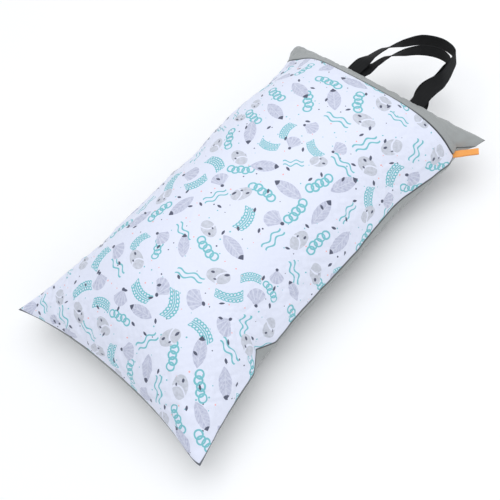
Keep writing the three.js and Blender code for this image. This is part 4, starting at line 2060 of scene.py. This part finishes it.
class BagFinishes:
    """Every finish of the bag, each made once."""

    def __init__(self, cut: ClothCut) -> None:
        """Makes the materials for the cloth as it is cut.

        Args:
            cut: how the cloth is cut.
        """
        # The seam lines paint shade along every seam, and beside the slit on the print and the yoke.
        self.printed = PrintedCloth(ClothPrint(), PaintedSeamShade(cut, "#5C6068", True, 1.6)).make()
        self.yoke = GrayCloth("yoke_cloth", PaintedSeamShade(cut, "#626566", True)).make()
        self.gray = GrayCloth("plain_cloth", PaintedSeamShade(cut, "#626566", False)).make()
        # Dyed tape scatters light evenly, and painted cast metal has a tighter, low gloss.
        self.zipper = PlainFinish("zipper_cloth", "#4A4D50", 0.6).make()
        self.metal = PlainFinish("painted_metal", "#6A6E70", 0.38).make()
        self.webbing = BlackWebbing().make()
        self.ribbon = SatinRibbon().make()
        # Spun sewing thread has a dull sheen, which its own grain breaks up.
        self.thread = PlainFinish("gray_thread", "#8D9090", 0.55).make()
        self.pale_thread = PlainFinish("pale_thread", "#D5DAE4", 0.55).make()


# The studio


@dataclass(frozen=True)
class AreaLight:
    """One soft light: its place, what it faces, its size and power."""

    name: str
    place: tuple[float, float, float]
    target: tuple[float, float, float]
    size: float
    power: float
    colour: str = "#FFFFFF"

    def build(self) -> None:
        """Adds the light, turned to its target."""
        deselect()
        bpy.ops.object.light_add(type="AREA", location=self.place)
        lamp = bpy.context.object
        lamp.name = self.name
        lamp.data.size = self.size
        lamp.data.energy = self.power
        lamp.data.color = linear(self.colour)[:3]
        aim = Vector(self.target) - Vector(self.place)
        lamp.rotation_euler = aim.to_track_quat("-Z", "Y").to_euler()


@dataclass(frozen=True)
class Studio:
    """The plain studio and the camera that sees the bag as it was seen."""

    azimuth: float = 59.669
    elevation: float = 55.58
    roll: float = -20.642
    distance: float = 1.345798
    target: tuple[float, float, float] = (0.0, 0.0, 0.06)
    focal_pixels: float = 900.645
    centre: tuple[float, float] = (251.456, 224.901)
    pixels: int = 500
    sensor: float = 36.0
    seen_range: tuple[float, float] = (0.05, 50.0)
    floor_size: float = 30
    floor_colour: str = "#FBFBFB"
    surround: str = "#F4F7FC"
    glow: float = 0.74
    lights: tuple[AreaLight, ...] = (
        AreaLight("overhead", (-0.1, 0.4, 2.3), (0.0, 0.0, 0.05), 2.6, 28.5),
        AreaLight("right_side", (1.9, -0.7, 1.1), (0.0, -0.1, 0.08), 1.4, 5.0),
    )

    def build(self) -> None:
        """Adds floor, lights, world and camera, and shows colours as they are."""
        bpy.context.scene.view_settings.view_transform = "Standard"
        self.add_floor()
        for light in self.lights:
            light.build()
        self.add_world()
        self.add_camera()

    def add_floor(self) -> None:
        """A plain pale floor under the bag."""
        deselect()
        bpy.ops.mesh.primitive_plane_add(size=self.floor_size)
        floor = bpy.context.object
        floor.name = floor.data.name = "studio_floor"
        finish = FinishTree("pale_floor").dressed(Base_Color=linear(self.floor_colour), Roughness=0.85)
        floor.data.materials.append(finish)

    def add_world(self) -> None:
        """An even pale surround."""
        world = bpy.data.worlds.new("pale_surround")
        bpy.context.scene.world = world
        world.use_nodes = True
        world.node_tree.nodes.clear()
        glow = add_node(world.node_tree, "Background", Color=linear(self.surround), Strength=self.glow)
        add_node(world.node_tree, "OutputWorld", Surface=glow)

    def add_camera(self) -> None:
        """The camera, from the view that fits the bag's corners and edges."""
        angles = (self.azimuth, self.elevation, self.roll)
        azimuth, elevation, roll = (math.radians(angle) for angle in angles)
        level_out = Vector((math.sin(azimuth), -math.cos(azimuth), 0)) * math.cos(elevation)
        back = level_out + Vector((0, 0, math.sin(elevation)))
        level = (-back).cross(Vector((0, 0, 1))).normalized()
        above = level.cross(-back)
        right = level * math.cos(roll) + above * math.sin(roll)
        up = above * math.cos(roll) - level * math.sin(roll)
        deselect()
        bpy.ops.object.camera_add()
        camera = bpy.context.object
        camera.name = "camera"
        turn = Matrix((right, up, back)).transposed().to_4x4()
        camera.matrix_world = Matrix.Translation(Vector(self.target) + back * self.distance) @ turn
        camera.data.sensor_width = self.sensor
        camera.data.lens = self.focal_pixels * self.sensor / self.pixels
        camera.data.shift_x = (self.pixels / 2 - self.centre[0]) / self.pixels
        camera.data.shift_y = (self.centre[1] - self.pixels / 2) / self.pixels
        camera.data.clip_start, camera.data.clip_end = self.seen_range
        bpy.context.scene.camera = camera


# The bag


@dataclass(frozen=True)
class WetBag:
    """The whole bag: cloth, loops, tab, zipper and stitching."""

    shape: BagShape = field(default_factory=BagShape)
    cut: ClothCut = field(default_factory=ClothCut)
    loop_bulk: float = 3.0 * MM
    tab_bulk: float = 1.0 * MM
    tab_room: float = 6 * MM
    top_stitch: float = 4.5 * MM
    slit_stitch: float = 11 * MM
    stitched_from: float = 0.02
    stitched_to: float = 0.98
    stitch_path_steps: int = 260

    def build(self) -> None:
        """Builds and declares every piece."""
        finishes = BagFinishes(self.cut)
        loops = [
            WebbingLoop("upper_loop", self.shape, 129 * MM, 25.5 * MM, 0.0, 0.0, 1),
            WebbingLoop("lower_loop", self.shape, 111.5 * MM, 33.5 * MM, 6 * MM, 10.5 * MM, -1),
        ]
        tab = SideTab(self.shape)
        cloth = BagCloth(self.shape, self.cut, Drape(), SeamPucker(), self.sewn_in(loops, tab))
        self.add_cloth(cloth, finishes)
        for loop, node in zip(loops, ("handle_front", "handle_rear")):
            self.declare(loop.build(finishes.webbing), node)
        self.declare(tab.build(finishes.ribbon), "side_tab")
        for piece in ZipperRun(cloth).build(finishes):
            self.declare(piece, "zipper")
        self.add_stitching(cloth, finishes)

    def sewn_in(self, loops: Sequence[WebbingLoop], tab: SideTab) -> tuple[SewnIn, ...]:
        """Where the loops' legs and the tab lie between the two sheets.

        Args:
            loops: the upper and the lower loop.
            tab: the ribbon tab.

        Returns:
            The places for the cloth to part at.
        """
        items = []
        half = self.cut.width / 2
        for (start, _), (_, end) in zip(loops[0].spans(), loops[1].spans()):
            items.append(SewnIn(Seam.TOP, start + half, end + half, self.loop_bulk))
        middle = self.cut.length - tab.distance
        items.append(SewnIn(Seam.RIGHT, middle - self.tab_room, middle + self.tab_room, self.tab_bulk))
        return tuple(items)

    def add_cloth(self, cloth: BagCloth, finishes: BagFinishes) -> None:
        """The printed front, the gray yoke and the gray back.

        Args:
            cloth: the bag's settled cloth.
            finishes: the bag's materials.
        """
        cut, slit, last = self.cut, self.cut.print_rows, self.cut.rows
        panels = (
            Panel(
                "printed_front", "front_panel", "printed_cloth", Side.FRONT, (0, slit),
                length=cut.slit, step=0.5, slit_end=-1, rests_on="gray_back",
            ),
            Panel(
                "gray_yoke", "front_yoke", "plain_cloth", Side.FRONT, (slit, last),
                length=cut.yoke, step=0.5, slit_end=0, rests_on="gray_back",
            ),
            Panel(
                "gray_back", "back_panel", "plain_cloth", Side.BACK, (0, last),
                length=cut.length, step=0.6, slit_end=None, rests_on="studio_floor",
            ),
        )
        for panel, finish in zip(panels, (finishes.printed, finishes.yoke, finishes.gray)):
            piece = cloth.sheet(panel, finish)
            self.declare(piece, panel.node)

    def add_stitching(self, cloth: BagCloth, finishes: BagFinishes) -> None:
        """The topstitching beside the top seam and along both sides of the slit.

        Args:
            cloth: the bag's settled cloth.
            finishes: the bag's materials.
        """
        rows = (
            ("top_stitches", self.cut.length - self.top_stitch, finishes.thread, "plain_cloth"),
            ("yoke_stitches", self.cut.slit + self.slit_stitch, finishes.thread, "plain_cloth"),
            ("print_stitches", self.cut.slit - self.slit_stitch, finishes.pale_thread, "printed_cloth"),
        )
        shares = np.linspace(self.stitched_from, self.stitched_to, self.stitch_path_steps)
        places = shares * self.cut.columns
        outside = cloth.front + grid_normals(cloth.front) * cloth.wall
        normals = grid_normals(outside)
        for name, height, thread, slot in rows:
            row = np.interp(height, self.cut.flat_rows(), np.arange(self.cut.rows + 1))
            path, up = (
                between(between(grid, np.array([row]), 1), places, 0)[:, 0] for grid in (outside, normals)
            )
            self.declare(StitchLine(name).build(path, up, thread), None)

    def declare(self, obj: bpy.types.Object, node: str | None) -> None:
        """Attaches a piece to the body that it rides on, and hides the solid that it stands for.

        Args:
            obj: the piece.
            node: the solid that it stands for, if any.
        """
        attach(obj, BODY)
        if node:
            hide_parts(node)


def main() -> None:
    """Dresses the frame."""
    logging.basicConfig(level=logging.INFO, format="%(name)s: %(message)s")
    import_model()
    Studio().build()
    WetBag().build()


if __name__ == "__main__":
    main()
